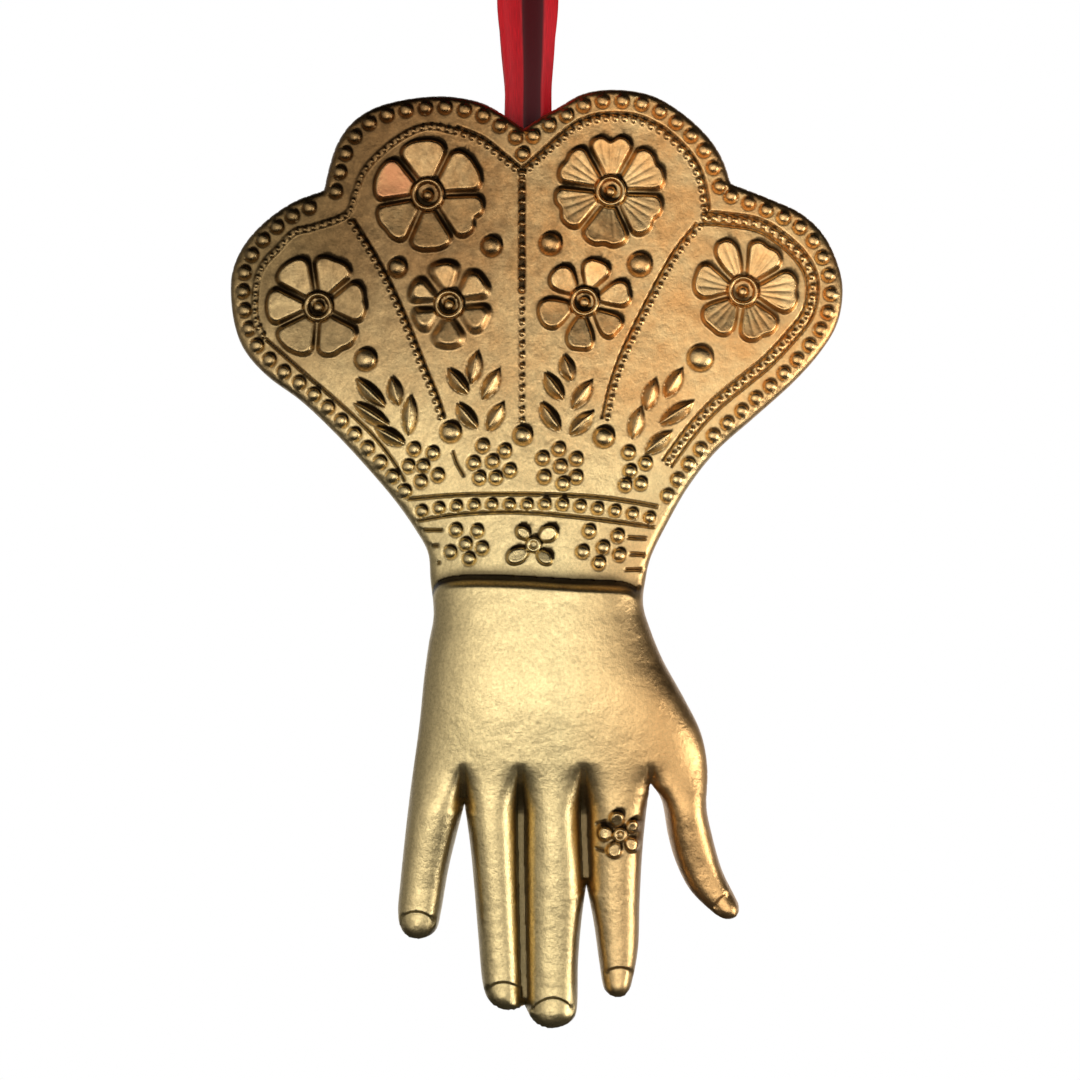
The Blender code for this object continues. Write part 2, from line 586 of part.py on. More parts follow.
class Layout:
    """Points of a skin's facets, and the lines that the facets' edges follow."""

    def __init__(self, loop):
        self.held = np.empty((12000, 2))
        self.held[:len(loop)] = loop
        self.count = len(loop)
        self.edges = {(i, (i + 1) % len(loop)) for i in range(len(loop))}

    def dots(self, points, closest):
        """Adds points inside the outline, and gives each one's index, or None outside it.

        A point closer to an earlier one than closest is not added: it gets that one's index.
        """
        names = []
        for point, good in zip(np.asarray(points, float), well_inside(points, RIM_MARGIN)):
            away = np.hypot(*(self.held[:self.count] - point).T)
            if not good:
                names.append(None)
            elif away.min() < closest:
                names.append(int(away.argmin()))
            else:
                names.append(self.count)
                self.held[self.count] = point
                self.count += 1
        return names

    def line(self, points, closest, closed=False):
        """Adds points, and an edge between neighbours unless it would leave the outline."""
        names = self.dots(points, closest)
        pairs = [pair for pair in zip(names, names[1:] + names[:closed])
                 if None not in pair and pair[0] != pair[1]]
        if not pairs:
            return
        middles = np.array([(self.held[i] + self.held[j]) / 2 for i, j in pairs])
        for (i, j), good in zip(pairs, well_inside(middles, RIM_MARGIN / 2)):
            if good:
                self.edges.add((min(i, j), max(i, j)))

    def facets(self):
        """The triangles inside the outline, and where each point of the outline went."""
        spots = [Vector(point) for point in self.held[:self.count]]
        made = delaunay_2d_cdt(spots, sorted(self.edges), [], 1, 1e-5)
        return np.array([tuple(v) for v in made[0]]), [tuple(f) for f in made[2]], made[3]


def circle(x, z, radius, count, turn=0.3):
    way = turn + np.arange(count) * 2 * math.pi / count
    return np.column_stack([x + radius * np.cos(way), z + radius * np.sin(way)])


def petal_loop(flower, petal, share, count):
    """Points round a petal, on its outline where share is 1."""
    (x, z), ring, _ = flower
    angle, reach, half = petal
    way = (np.arange(count) + 0.5) * 2 * math.pi / count
    power = 2 / PETAL_POWER
    long = share * np.sign(np.cos(way)) * np.abs(np.cos(way)) ** power
    side = share * np.sign(np.sin(way)) * np.abs(np.sin(way)) ** power
    root = ring + FLOWER_RING_HALF
    away = (reach + root) / 2 + long * (reach - root) / 2
    aside = side * half * np.clip(away / (PETAL_WIDEST * reach), 0.2, 1.0)
    out = math.radians(angle)
    return np.column_stack([x + away * math.cos(out) - aside * math.sin(out),
                            z + away * math.sin(out) + aside * math.cos(out)])


def lay_flower(skin, flower):
    (x, z), ring, petals = flower
    count = 10 if ring > FLOWER_BUTTON else 8
    skin.dots([(x, z)], CLOSEST)
    if ring > FLOWER_BUTTON:
        skin.line(circle(x, z, FLOWER_BUTTON, 6), CLOSEST, closed=True)
        skin.line(circle(x, z, ring - FLOWER_RING_HALF, 8), CLOSEST, closed=True)
        skin.line(circle(x, z, ring, 8), CLOSEST, closed=True)
    for petal in petals:
        skin.line(petal_loop(flower, petal, 1.0 - PETAL_WALL / petal[2], count), CLOSEST, closed=True)
        skin.line(petal_loop(flower, petal, 1.02, count), CLOSEST, closed=True)
        skin.dots(petal_loop(flower, petal, 0.3, 2), CLOSEST)


def lay_leaf(skin, leaf):
    tip, stem = np.array(leaf[:2]), np.array(leaf[2:])
    across = np.array([tip[1] - stem[1], stem[0] - tip[0]]) / np.linalg.norm(stem - tip)
    ridge = [tip + share * (stem - tip) for share in (0.0, 0.3, 0.7, 1.0)]
    skin.line(ridge, CLOSEST)
    sides = []
    for side, shares in ((-1, (0.2, 0.5, 0.8)), (1, (0.8, 0.5, 0.2))):
        for share in shares:
            half = LEAF_HALF * (1.0 - (2 * share - 1.0) ** 2)
            sides.append(tip + share * (stem - tip) + side * half * across)
    skin.line([tip] + sides[:3] + [stem] + sides[3:], CLOSEST, closed=True)


def beside(line, distance):
    """A line's points moved sideways, to its left where distance is positive."""
    along = np.gradient(line, axis=0)
    along /= np.linalg.norm(along, axis=1)[:, None]
    return line + distance * np.column_stack([-along[:, 1], along[:, 0]])


def lay_rope(skin, rope):
    line = curve_through(rope, ROPE_STEP)
    for distance in (0.0, ROPE_HALF, -ROPE_HALF):
        skin.line(beside(line, distance), CLOSEST)
    for end, inner in ((line[0], line[1]), (line[-1], line[-2])):
        skin.dots([end + (end - inner) * ROPE_HALF / np.linalg.norm(end - inner)], CLOSEST)


def inset_lines(inset, step, top=math.inf, bottom=-math.inf):
    """Runs of points at one distance inside the outline."""
    line = RIM if step == OUTLINE_STEP else outline_loop(step)
    along = np.roll(line, -1, axis=0) - np.roll(line, 1, axis=0)
    along /= np.linalg.norm(along, axis=1)[:, None]
    moved = line + inset * np.column_stack([-along[:, 1], along[:, 0]])
    good = well_inside(moved, 0.92 * inset)
    good &= (moved[:, 1] < top) & (moved[:, 1] > bottom)
    runs = np.split(np.arange(len(moved)), np.flatnonzero(np.diff(good.astype(int))) + 1)
    return [moved[run] for run in runs if good[run[0]]]


def lattice(step, top, bottom, margin):
    """Points of an even triangular pattern, no nearer to the outline than the margin."""
    rows = np.arange(bottom, top, step * math.sqrt(3) / 2)
    columns = np.arange(EDGE_LINE[:, 0].min(), EDGE_LINE[:, 0].max(), step)
    made = np.vstack([np.column_stack([columns + (i % 2) * step / 2, np.full(len(columns), z)])
                      for i, z in enumerate(rows)])
    return made[well_inside(made, margin)]


def reach_across(middle, across):
    """How far each middle point is from the outline or a groove's land, measured across."""
    steps = np.arange(0.1, FINGER_REACH, 0.1)
    spots = (middle[:, None] + steps[None, :, None] * across[:, None]).reshape(-1, 2)
    groove = np.min([distance_to(spots, line) for line in GROOVES], axis=0)
    shut = ~inside(spots, EDGE_LINE) | (groove < FINGER_LAND_HALF)
    shut = shut.reshape(len(middle), len(steps))
    return np.where(shut.any(axis=1), steps[shut.argmax(axis=1)], FINGER_REACH)


def lay_fingers(skin, shares, closest, tip_radius):
    """Lines along the grooves, and along each finger at these shares of its half width."""
    for groove in GROOVES:
        middle = curve_through(groove, HAND_STEP)
        for aside in (-FINGER_LAND_HALF, FINGER_LAND_HALF):
            skin.line(middle + np.array([aside, 0.0]), closest)
    for finger in FINGERS + [THUMB]:
        middle = curve_through(finger, HAND_STEP)
        middle = middle[middle[:, 1] < KNUCKLE_TOP]
        skin.line(middle, closest)
        across = beside(middle, 1.0) - middle
        for side in (-1, 1):
            reach = reach_across(middle, side * across)
            for share in shares:
                skin.line(middle + side * share * reach[:, None] * across, closest)
        skin.dots(circle(*middle[-1], tip_radius, 8), 2 * closest)


def front_layout():
    skin = Layout(RIM)
    skin.dots([(x, z) for x, z, _ in BEADS], CLOSEST)
    for flower in FLOWERS:
        lay_flower(skin, flower)
    for leaf in LEAVES:
        lay_leaf(skin, leaf)
    for x, z, radius in BALLS:
        skin.dots([(x, z)], CLOSEST)
        skin.line(circle(x, z, radius * BALL_LINE, 6), CLOSEST, closed=True)
        skin.line(circle(x, z, radius, 8), CLOSEST, closed=True)
    for x, z, radius in BEADS:
        skin.line(circle(x, z, radius, 6), CLOSEST, closed=True)
    for rope in ROPES:
        lay_rope(skin, rope)
    for share in STEP_LINES:
        skin.line(curve_through(STEP_LINE, 2.0) - np.array([0.0, share * STEP_ROUND]), 0.08)
    lay_fingers(skin, FINGER_LINES, CLOSEST, FINGERTIP_RADIUS)
    for run in inset_lines(EDGE_ROLL * ROLL_LINE, OUTLINE_STEP):
        skin.line(run, CLOSEST)
    for inset in (EDGE_ROLL, 2.4 * EDGE_ROLL):
        for run in inset_lines(inset, HAND_STEP, top=STEP_TOP - 2.3, bottom=KNUCKLE_TOP - 1.0):
            skin.line(run, 0.5)
    for run in inset_lines(EDGE_ROLL, OUTLINE_STEP, bottom=STEP_TOP - 0.8):
        skin.dots(run, 0.5)
    skin.dots(lattice(HAND_STEP, STEP_TOP - 1.8, KNUCKLE_END, 2.0), 1.3)
    skin.dots(lattice(GROUND_STEP, 6.0, STEP_TOP + 0.2, 1.5), 1.3)
    return skin


def back_layout():
    skin = Layout(RIM)
    for inset in (SHEET * 0.9, SHEET * 1.6):
        for run in inset_lines(inset, OUTLINE_STEP):
            skin.line(run, BACK_CLOSEST)
    for flower in FLOWERS:
        for petal in flower[2]:
            if petal[2] > 2 * SHEET:
                inner = 1.0 - (SHEET + PETAL_WALL) / petal[2]
                skin.line(petal_loop(flower, petal, inner, 6), BACK_CLOSEST, closed=True)
                skin.line(petal_loop(flower, petal, 1.0, 8), BACK_CLOSEST, closed=True)
    for x, z, radius in BALLS:
        skin.dots([(x, z)], BACK_CLOSEST)
        skin.line(circle(x, z, radius, 6), BACK_CLOSEST, closed=True)
    for share in BACK_STEP_LINES:
        step = curve_through(STEP_LINE, 2.4) - np.array([0.0, share * SHEET])
        skin.line(step[distance_to(step, EDGE_LINE, True) > 2 * SHEET], 0.1)
    lay_fingers(skin, BACK_FINGER_LINES, BACK_CLOSEST, FINGERTIP_RADIUS - SHEET)
    for inset in (3 * SHEET, 6 * SHEET):
        for run in inset_lines(inset, HAND_STEP, top=STEP_TOP - 2.8, bottom=KNUCKLE_TOP - 1.0):
            skin.line(run, 0.6)
    skin.dots(lattice(HAND_STEP, STEP_TOP - 2.3, KNUCKLE_END, 2.2), 1.5)
    skin.dots(lattice(GROUND_STEP, 6.0, STEP_TOP - 0.3, 1.7), 1.7)
    return skin


def pressed_sheet(finish, home, origin):
    """The pressed sheet: a front skin, a hollow back skin and the cut edge between them."""
    rim = len(RIM)
    vertices, faces, edges = [], [], []
    for skin, front in ((front_layout(), True), (back_layout(), False)):
        flat, triangles, came_from = skin.facets()
        height = front_height(flat) if front else back_height(flat)
        on_rim = [next(i for i, names in enumerate(came_from) if k in names) for k in range(rim)]
        height[on_rim] = CUT_EDGE if front else 0.0
        start = len(vertices)
        vertices += [(x + NOTCH_X, BACK_PLANE_Y - rise, z + NOTCH_Z)
                     for (x, z), rise in zip(flat, height)]
        for a, b, c in triangles:
            turn = np.cross(flat[b] - flat[a], flat[c] - flat[a])
            order = (a, b, c) if (turn > 0) == front else (a, c, b)
            faces.append(tuple(start + i for i in order))
        edges.append([start + i for i in on_rim])
    for i in range(rim):
        j = (i + 1) % rim
        faces.append((edges[0][i], edges[1][i], edges[1][j], edges[0][j]))
    return add_mesh("pressed_hand", vertices, faces, origin, finish, home, 32)


# The hanger.

def wire(name, points, thickness, origin, finish, home):
    """A round wire along the given points, as a curve object."""
    data = bpy.data.curves.new(name, "CURVE")
    data.dimensions = "3D"
    data.bevel_depth = thickness / 2 * MM
    data.bevel_resolution = 2
    data.use_fill_caps = True
    line = data.splines.new("POLY")
    line.points.add(len(points) - 1)
    base = np.asarray(origin, float)
    for spot, place in zip(line.points, points):
        spot.co = (*((np.asarray(place) - base) * MM), 1.0)
    data.materials.append(finish)
    made = bpy.data.objects.new(name, data)
    made.location = Vector(base * MM)
    home.objects.link(made)
    return made


def jump_ring(finish, home):
    """The round ring, with the small seam where its wire's ends meet."""
    seam = RING_SEAM / RING_RADIUS / 2
    points = [(RING_RADIUS * math.cos(way), 0.0, RING_CENTRE_Z + RING_RADIUS * math.sin(way))
              for way in np.linspace(seam, 2 * math.pi - seam, 33)]
    return wire("jump_ring", points, RING_WIRE, (0, 0, RING_CENTRE_Z), finish, home)


def sheet_back_y(z):
    """Where the back of the sheet lies behind the hanger, at this height."""
    place = np.array([[-NOTCH_X, z - NOTCH_Z]])
    return BACK_PLANE_Y - float(back_height(place)[0])


def hanging_eye(finish, home, origin):
    """A wire staple: two legs from the sheet and a half round end about the ring's wire."""
    upper = [(0, sheet_back_y(PIVOT_Z + EYE_RADIUS) + GAP, PIVOT_Z + EYE_RADIUS)]
    lower = [(0, sheet_back_y(PIVOT_Z - EYE_RADIUS) + GAP, PIVOT_Z - EYE_RADIUS)]
    bend = [(0, EYE_RADIUS * math.cos(way), PIVOT_Z + EYE_RADIUS * math.sin(way))
            for way in np.linspace(math.pi / 2, -math.pi / 2, 13)]
    return wire("hanging_eye", upper + bend + lower, EYE_WIRE, origin, finish, home)


def solder(name, z, finish, home):
    """A fillet of solder round one leg of the eye: a profile turned about the leg."""
    hole = EYE_WIRE / 2 + SOLDER_GAP
    waist = hole + SOLDER_WAIST * (SOLDER_RADIUS - hole)
    profile = [(hole, SOLDER_HEIGHT), (hole + SOLDER_LIP, SOLDER_HEIGHT), (waist, SOLDER_HEIGHT / 2),
               (SOLDER_RADIUS, SOLDER_LIP), (SOLDER_RADIUS, 0.0), (hole, 0.0)]
    mesh = bpy.data.meshes.new(name)
    count = len(profile)
    mesh.from_pydata([(r * MM, 0.0, h * MM) for r, h in profile],
                     [(i, (i + 1) % count) for i in range(count)], [])
    mesh.materials.append(finish)
    made = bpy.data.objects.new(name, mesh)
    made.location = Vector((0.0, sheet_back_y(z) + SOLDER_GAP, z)) * MM
    made.rotation_euler.x = math.radians(-90)
    home.objects.link(made)
    turn = made.modifiers.new("turn", "SCREW")
    turn.steps = turn.render_steps = 16
    turn.use_merge_vertices = True
    turn.merge_threshold = 1e-6
    return made


# The ribbon.

def fold_section(width, depth, flip):
    """The ribbon's folded section: three panels, with one fold forward and one back."""
    across = np.array(FOLDS_ACROSS) * width / 2
    back = np.array(FOLDS_DEEP) * (depth - RIBBON_THICKNESS) / 2
    middle = np.column_stack([across, back * flip])
    steps = np.diff(middle, axis=0)
    steps /= np.linalg.norm(steps, axis=1)[:, None]
    normals = np.column_stack([-steps[:, 1], steps[:, 0]])
    mitred = np.vstack([normals[:1], normals[:-1] + normals[1:], normals[-1:]])
    mitred /= np.linalg.norm(mitred, axis=1)[:, None]
    ends = np.vstack([normals[:1], normals])
    stretch = 1.0 / np.maximum(np.sum(mitred * ends, axis=1), 0.5)
    offset = mitred * stretch[:, None] * RIBBON_THICKNESS / 2
    return np.vstack([middle + offset, (middle - offset)[::-1]])


def ribbon_loft(name, stations, finish, home):
    """A folded ribbon through stations: middle, width axis, depth axis, width, fold, flip, sag."""
    vertices, count = [], 2 * len(FOLDS_ACROSS)
    for middle, wide, deep, width, fold, flip, sag in stations:
        for a, b in fold_section(width, fold, flip):
            drop = sag * (RING_RADIUS - math.sqrt(max(RING_RADIUS**2 - a * a, 0.0)))
            vertices.append(np.array(middle) + a * np.array(wide) + b * np.array(deep) - (0, 0, drop))
    faces = []
    for s in range(len(stations) - 1):
        for i in range(count):
            j = (i + 1) % count
            faces.append((s * count + i, s * count + j, (s + 1) * count + j, (s + 1) * count + i))
    last = (len(stations) - 1) * count
    for a, b in ((0, 1), (1, 2), (2, 3)):
        near = (a, b, count - 1 - b, count - 1 - a)
        faces.append(near[::-1])
        faces.append(tuple(last + k for k in near))
    return oriented(name, vertices, faces, finish, home)


def oriented(name, vertices, faces, finish, home):
    """Adds the mesh with its faces turned outwards."""
    points = np.array(vertices)
    volume = 0.0
    for face in faces:
        for b, c in zip(face[1:], face[2:]):
            volume += np.dot(points[face[0]], np.cross(points[b], points[c]))
    turned = faces if volume > 0 else [face[::-1] for face in faces]
    return add_mesh(name, points, turned, (0, 0, 0), finish, home, 30)


def strand(name, side, finish, home):
    """One half of the loop, from under the ring's top wire up to the knot; side -1 is the front."""
    top_wire = RING_CENTRE_Z + RING_RADIUS
    x_axis = (1, 0, 0)
    stations = []
    start = math.asin((GAP / 2) / BIGHT_RADIUS)
    for way in np.linspace(start, math.pi / 2, 6):
        place = (0, side * BIGHT_RADIUS * math.sin(way), top_wire - BIGHT_RADIUS * math.cos(way))
        deep = (0, math.sin(way), -side * math.cos(way))
        stations.append((place, x_axis, deep, RING_WIDTH, TIGHT_FOLD, side, 1.0))
    free_y = BIGHT_RADIUS - TIGHT_FOLD / 2 + FREE_FOLD / 2
    knot_y = GAP / 2 + TIGHT_FOLD / 2
    height = KNOT_BOTTOM_Z - GAP - top_wire
    for rise in height * np.array(STRAND_SHARES):
        notch = smooth(rise / NOTCH_REACH)
        gather = smooth((rise - GATHER_START) / GATHER_REACH)
        width = RING_WIDTH + (NOTCH_WIDTH - RING_WIDTH) * notch + (GATHERED_WIDTH - NOTCH_WIDTH) * gather
        fold = TIGHT_FOLD + (FREE_FOLD - TIGHT_FOLD) * gather
        away = BIGHT_RADIUS + (free_y - BIGHT_RADIUS) * gather
        stations.append(((0, side * away, top_wire + rise), x_axis, (0, 1, 0), width, fold, side,
                         1.0 - notch))
    last = STRAND_SHARES[-1]
    for at in KNOT_SHARES:
        share = (at - last) / (1.0 - last)
        width = GATHERED_WIDTH + (NOTCH_WIDTH - GATHERED_WIDTH) * share
        fold = FREE_FOLD + (TIGHT_FOLD - FREE_FOLD) * share
        away = free_y + (knot_y - free_y) * share
        stations.append(((0, side * away, top_wire + height * at), x_axis, (0, 1, 0), width, fold,
                         side, 0.0))
    return ribbon_loft(name, stations, finish, home)


def knot(finish, home):
    """The overhand knot: a squashed ball with the wrap that binds it standing out."""
    middle = Vector((0.0, 0.0, KNOT_BOTTOM_Z + KNOT_HEIGHT / 2))
    half = Vector((KNOT_WIDTH, KNOT_DEPTH, KNOT_HEIGHT)) / 2
    ball = bmesh.new()
    bmesh.ops.create_uvsphere(ball, u_segments=24, v_segments=14, radius=1.0)
    for spot in ball.verts:
        slant = spot.co.z * WRAP_UP - spot.co.x * WRAP_ACROSS
        off_wrap = smooth((abs(slant) - WRAP_HALF) / WRAP_EDGE) * math.hypot(spot.co.x, spot.co.y)
        spot.co *= 1.0 - KNOT_WRAP * float(off_wrap)
        spot.co = Vector(half[i] * spot.co[i] + middle[i] for i in range(3)) * MM
    mesh = bpy.data.meshes.new("ribbon_knot")
    ball.to_mesh(mesh)
    ball.free()
    mesh.shade_smooth()
    mesh.materials.append(finish)
    made = bpy.data.objects.new("ribbon_knot", mesh)
    home.objects.link(made)
    return made


def tail(name, side, finish, home):
    """One cut end of the ribbon, rising out of the knot and spreading to its full width."""
    root = np.array([side * (TAIL_ROOT / 2 + 2 * GAP), 0.0, KNOT_BOTTOM_Z + KNOT_HEIGHT + GAP])
    stations = []
    for share in np.linspace(0.0, 1.0, 8):
        lean = math.radians(TAIL_LEAN + TAIL_LEAN_MORE * share)
        way = np.array([side * math.sin(TAIL_BEND * lean), side * TAIL_TO_FRONT * share,
                        math.cos(TAIL_BEND * lean)])
        place = root + TAIL_LENGTH * share * way
        wide = np.array([math.cos(lean), 0.0, -side * math.sin(lean)])
        deep = np.array([0.0, 1.0, 0.0])
        spread = smooth(share * TAIL_SPREAD)
        width = TAIL_ROOT + (RIBBON_WIDTH - TAIL_ROOT) * spread
        fold = TIGHT_FOLD + (TAIL_FOLD - TIGHT_FOLD) * spread
        stations.append((place, wide, deep, width, fold, side, 0.0))
    return ribbon_loft(name, stations, finish, home)


def main():
    clear_scene()
    home = new_collection("hand_ornament")
    brass = material("pressed_brass", (0.58, 0.42, 0.16), 0.34, 1.0)
    wire_brass = material("brass_wire", (0.62, 0.47, 0.2), 0.28, 1.0)
    ring_brass = material("ring_brass", (0.66, 0.5, 0.22), 0.22, 1.0)
    tin = material("solder_tin", (0.5, 0.5, 0.48), 0.45, 1.0)
    satin = material("red_satin", (0.5, 0.02, 0.04), 0.42, 0.0)
    satin_back = material("red_satin_back", (0.42, 0.02, 0.03), 0.5, 0.0)
    pivot = (0, 0, PIVOT_Z)
    pressed_sheet(brass, home, pivot)
    hanging_eye(wire_brass, home, pivot)
    solder("solder_upper", PIVOT_Z + EYE_RADIUS, tin, home)
    solder("solder_lower", PIVOT_Z - EYE_RADIUS, tin, home)
    jump_ring(ring_brass, home)
    strand("ribbon_front_strand", -1, satin, home)
    strand("ribbon_back_strand", 1, satin_back, home)
    knot(satin, home)
    tail("ribbon_tail_left", -1, satin, home)
    tail("ribbon_tail_right", 1, satin, home)


main()
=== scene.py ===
"""Looks of the hand ornament: a pressed brass hand on a satin ribbon, dressed round its CAD parts.

Sizes are in millimetres and MM turns them into metres. The camera faces the palm and looks
along +Y, +Z is up, and a place on the sheet is measured from the notch in the cuff's top edge.
"""

import math

import bpy
import numpy as np
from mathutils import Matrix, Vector
from mathutils.geometry import delaunay_2d_cdt


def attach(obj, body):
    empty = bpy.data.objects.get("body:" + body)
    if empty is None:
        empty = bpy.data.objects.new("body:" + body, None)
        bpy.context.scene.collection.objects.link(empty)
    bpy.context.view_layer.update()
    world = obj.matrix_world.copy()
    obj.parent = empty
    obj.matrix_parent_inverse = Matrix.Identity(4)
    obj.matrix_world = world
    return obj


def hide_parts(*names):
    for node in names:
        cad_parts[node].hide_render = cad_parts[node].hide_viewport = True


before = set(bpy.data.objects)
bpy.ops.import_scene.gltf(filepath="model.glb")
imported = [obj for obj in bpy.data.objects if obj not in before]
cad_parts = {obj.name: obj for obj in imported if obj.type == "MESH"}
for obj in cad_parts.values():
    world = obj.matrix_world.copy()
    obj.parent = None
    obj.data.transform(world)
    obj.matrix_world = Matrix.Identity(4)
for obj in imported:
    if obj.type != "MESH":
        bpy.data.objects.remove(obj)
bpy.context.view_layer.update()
bpy.ops.object.select_all(action="DESELECT")

# The camera stands square in front of the palm, with a long lens, level with the middle of the
# hand and the lowest part of its ribbon.
MM = 0.001
CAMERA_AT = (1.5, -317.0, -105.9)

bpy.ops.object.camera_add(location=[c * MM for c in CAMERA_AT], rotation=(math.pi / 2, 0, 0))
camera = bpy.context.object
camera.name = "camera"
camera.data.lens = 85.0
camera.data.sensor_width = 36.0
camera.data.clip_start = 0.01
camera.data.clip_end = 20.0
bpy.context.scene.camera = camera


# The ribbon is a strip of red satin with woven edges, gathered lengthwise into three panels by
# one fold towards the eye and one away. Each strand runs from under the ring up to the knot.
RIBBON_WIDTH = 9.5
RIBBON_THICK = 0.24
SELVEDGE_THICK = 0.34
SELVEDGE_WIDE = 0.45
RING_TOP_Z = -57.5
RING_OUTER = 8.0
RING_WIRE = 1.0
RING_RADIUS = (RING_OUTER - RING_WIRE) / 2
RING_CENTRE_Z = RING_TOP_Z - RING_OUTER / 2
GAP = 0.3
TIGHT_FOLD = 1.2
BIGHT_RADIUS = RING_WIRE / 2 + GAP + TIGHT_FOLD / 2
FOLD_LINE = [(-1.0, 0.1), (-0.85, -0.16), (-0.62, -0.34), (-0.36, -0.78), (-0.2, -1.0),
             (-0.05, -0.78), (0.2, 0.0), (0.45, 0.76), (0.63, 1.0), (0.76, 0.62), (1.0, -0.2)]
# Each station of a strand: height over the ring's wire, width, fold, distance from the middle, and
# how far the strip sags round the ring.
STRAND_RUN = [
    (2.0, 4.84, 1.2, 1.4, 0.54), (4.0, 5.7, 1.2, 1.4, 0.0), (7.0, 5.7, 1.2, 1.4, 0.0),
    (9.0, 5.8, 1.26, 1.43, 0.0), (14.0, 6.65, 1.76, 1.68, 0.0), (17.0, 7.15, 2.05, 1.82, 0.0),
    (20.0, 7.3, 2.2, 1.9, 0.0), (32.0, 7.3, 2.2, 1.9, 0.0), (42.0, 7.3, 2.2, 1.9, 0.0),
    (51.2, 6.4, 1.65, 1.35, 0.0), (55.7, 6.0, 1.4, 1.05, 0.0), (58.6, 5.7, 1.2, 0.75, 0.0),
    (60.4, 4.6, 1.2, 0.66, 0.0)]
# Where across the strip the fold's painted shade starts and stops, and how softly it comes in.
FOLD_SHADE_START = 3.5
FOLD_SHADE_STOP = 7.5
FOLD_SHADE_SOFTNESS = 0.25
CUT_THREAD = 0.05
CUT_THREAD_SHARE = 0.7
SECTION_PARTS = 30
BIGHT_WIDTH = 4.4
STATION_STEP = 0.9
SWAY = 0.12
SWAY_TURN = 0.31
SWAY_GROWS = 20.0
SWAY_STOPS = 52.0
SWAY_FADES = 12.0
THREAD_STRETCH = (14.0, 0.5, 1.0)


def smooth(value):
    """0 up to 0 and 1 from 1 on, with a soft rise between."""
    held = np.clip(value, 0.0, 1.0)
    return held * held * (3.0 - 2.0 * held)


def curve_through(points, step, cuts=12):
    """Points a step apart on a smooth curve through the given points."""
    known = np.asarray(points, float)
    ends = np.vstack([2 * known[0] - known[1], known, 2 * known[-1] - known[-2]])
    fine = []
    for a, b, c, d in zip(ends, ends[1:], ends[2:], ends[3:]):
        t = np.linspace(0.0, 1.0, cuts, endpoint=False)[:, None]
        fine.append(0.5 * (2 * b + (c - a) * t + (2 * a - 5 * b + 4 * c - d) * t**2
                           + (3 * b - a - 3 * c + d) * t**3))
    fine = np.vstack(fine + [known[-1:]])
    run = np.concatenate([[0.0], np.cumsum(np.linalg.norm(np.diff(fine, axis=0), axis=1))])
    count = max(2, int(round(run[-1] / step)) + 1)
    wanted = np.linspace(0.0, run[-1], count)
    return np.column_stack([np.interp(wanted, run, fine[:, i]) for i in range(fine.shape[1])])


def add_mesh(name, vertices, faces, finish, body, angle=40):
    """A piece of this mesh, given in millimetres, that rides on a body."""
    mesh = bpy.data.meshes.new(name)
    mesh.from_pydata((np.asarray(vertices, float) * MM).tolist(), [], [tuple(f) for f in faces])
    mesh.validate()
    mesh.shade_smooth()
    mesh.set_sharp_from_angle(angle=math.radians(angle))
    mesh.materials.append(finish)
    made = bpy.data.objects.new(name, mesh)
    bpy.context.scene.collection.objects.link(made)
    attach(made, body)
    return made


def leftward(line):
    """At each point of a line, one unit to the left of the way that the line runs."""
    along = np.gradient(line, axis=0)
    along /= np.linalg.norm(along, axis=1)[:, None]
    return np.column_stack([-along[:, 1], along[:, 0]])


def lay_weave(made, across, along):
    """Gives each point of a piece its place across and along the strip."""
    weave = made.data.uv_layers.new(name="weave")
    for loop in made.data.loops:
        weave.data[loop.index].uv = (across[loop.vertex_index], along[loop.vertex_index])


def ribbon_section(width, depth, flip):
    """The folded strip's section as a closed loop, and each point's place across the strip."""
    line = np.array(FOLD_LINE) * [width / 2, (depth - SELVEDGE_THICK) / 2 * flip]
    line = curve_through(line, width / SECTION_PARTS)
    run = np.concatenate([[0.0], np.cumsum(np.linalg.norm(np.diff(line, axis=0), axis=1))])
    run = run / run[-1] * RIBBON_WIDTH
    from_edge = np.minimum(run, RIBBON_WIDTH - run)
    thick = np.where(from_edge < SELVEDGE_WIDE, SELVEDGE_THICK, RIBBON_THICK)
    thick = thick * np.where(from_edge < CUT_THREAD, CUT_THREAD_SHARE, 1.0)
    aside = leftward(line) * thick[:, None] / 2
    return np.vstack([line + aside, (line - aside)[::-1]]), np.concatenate([run, run[::-1]])


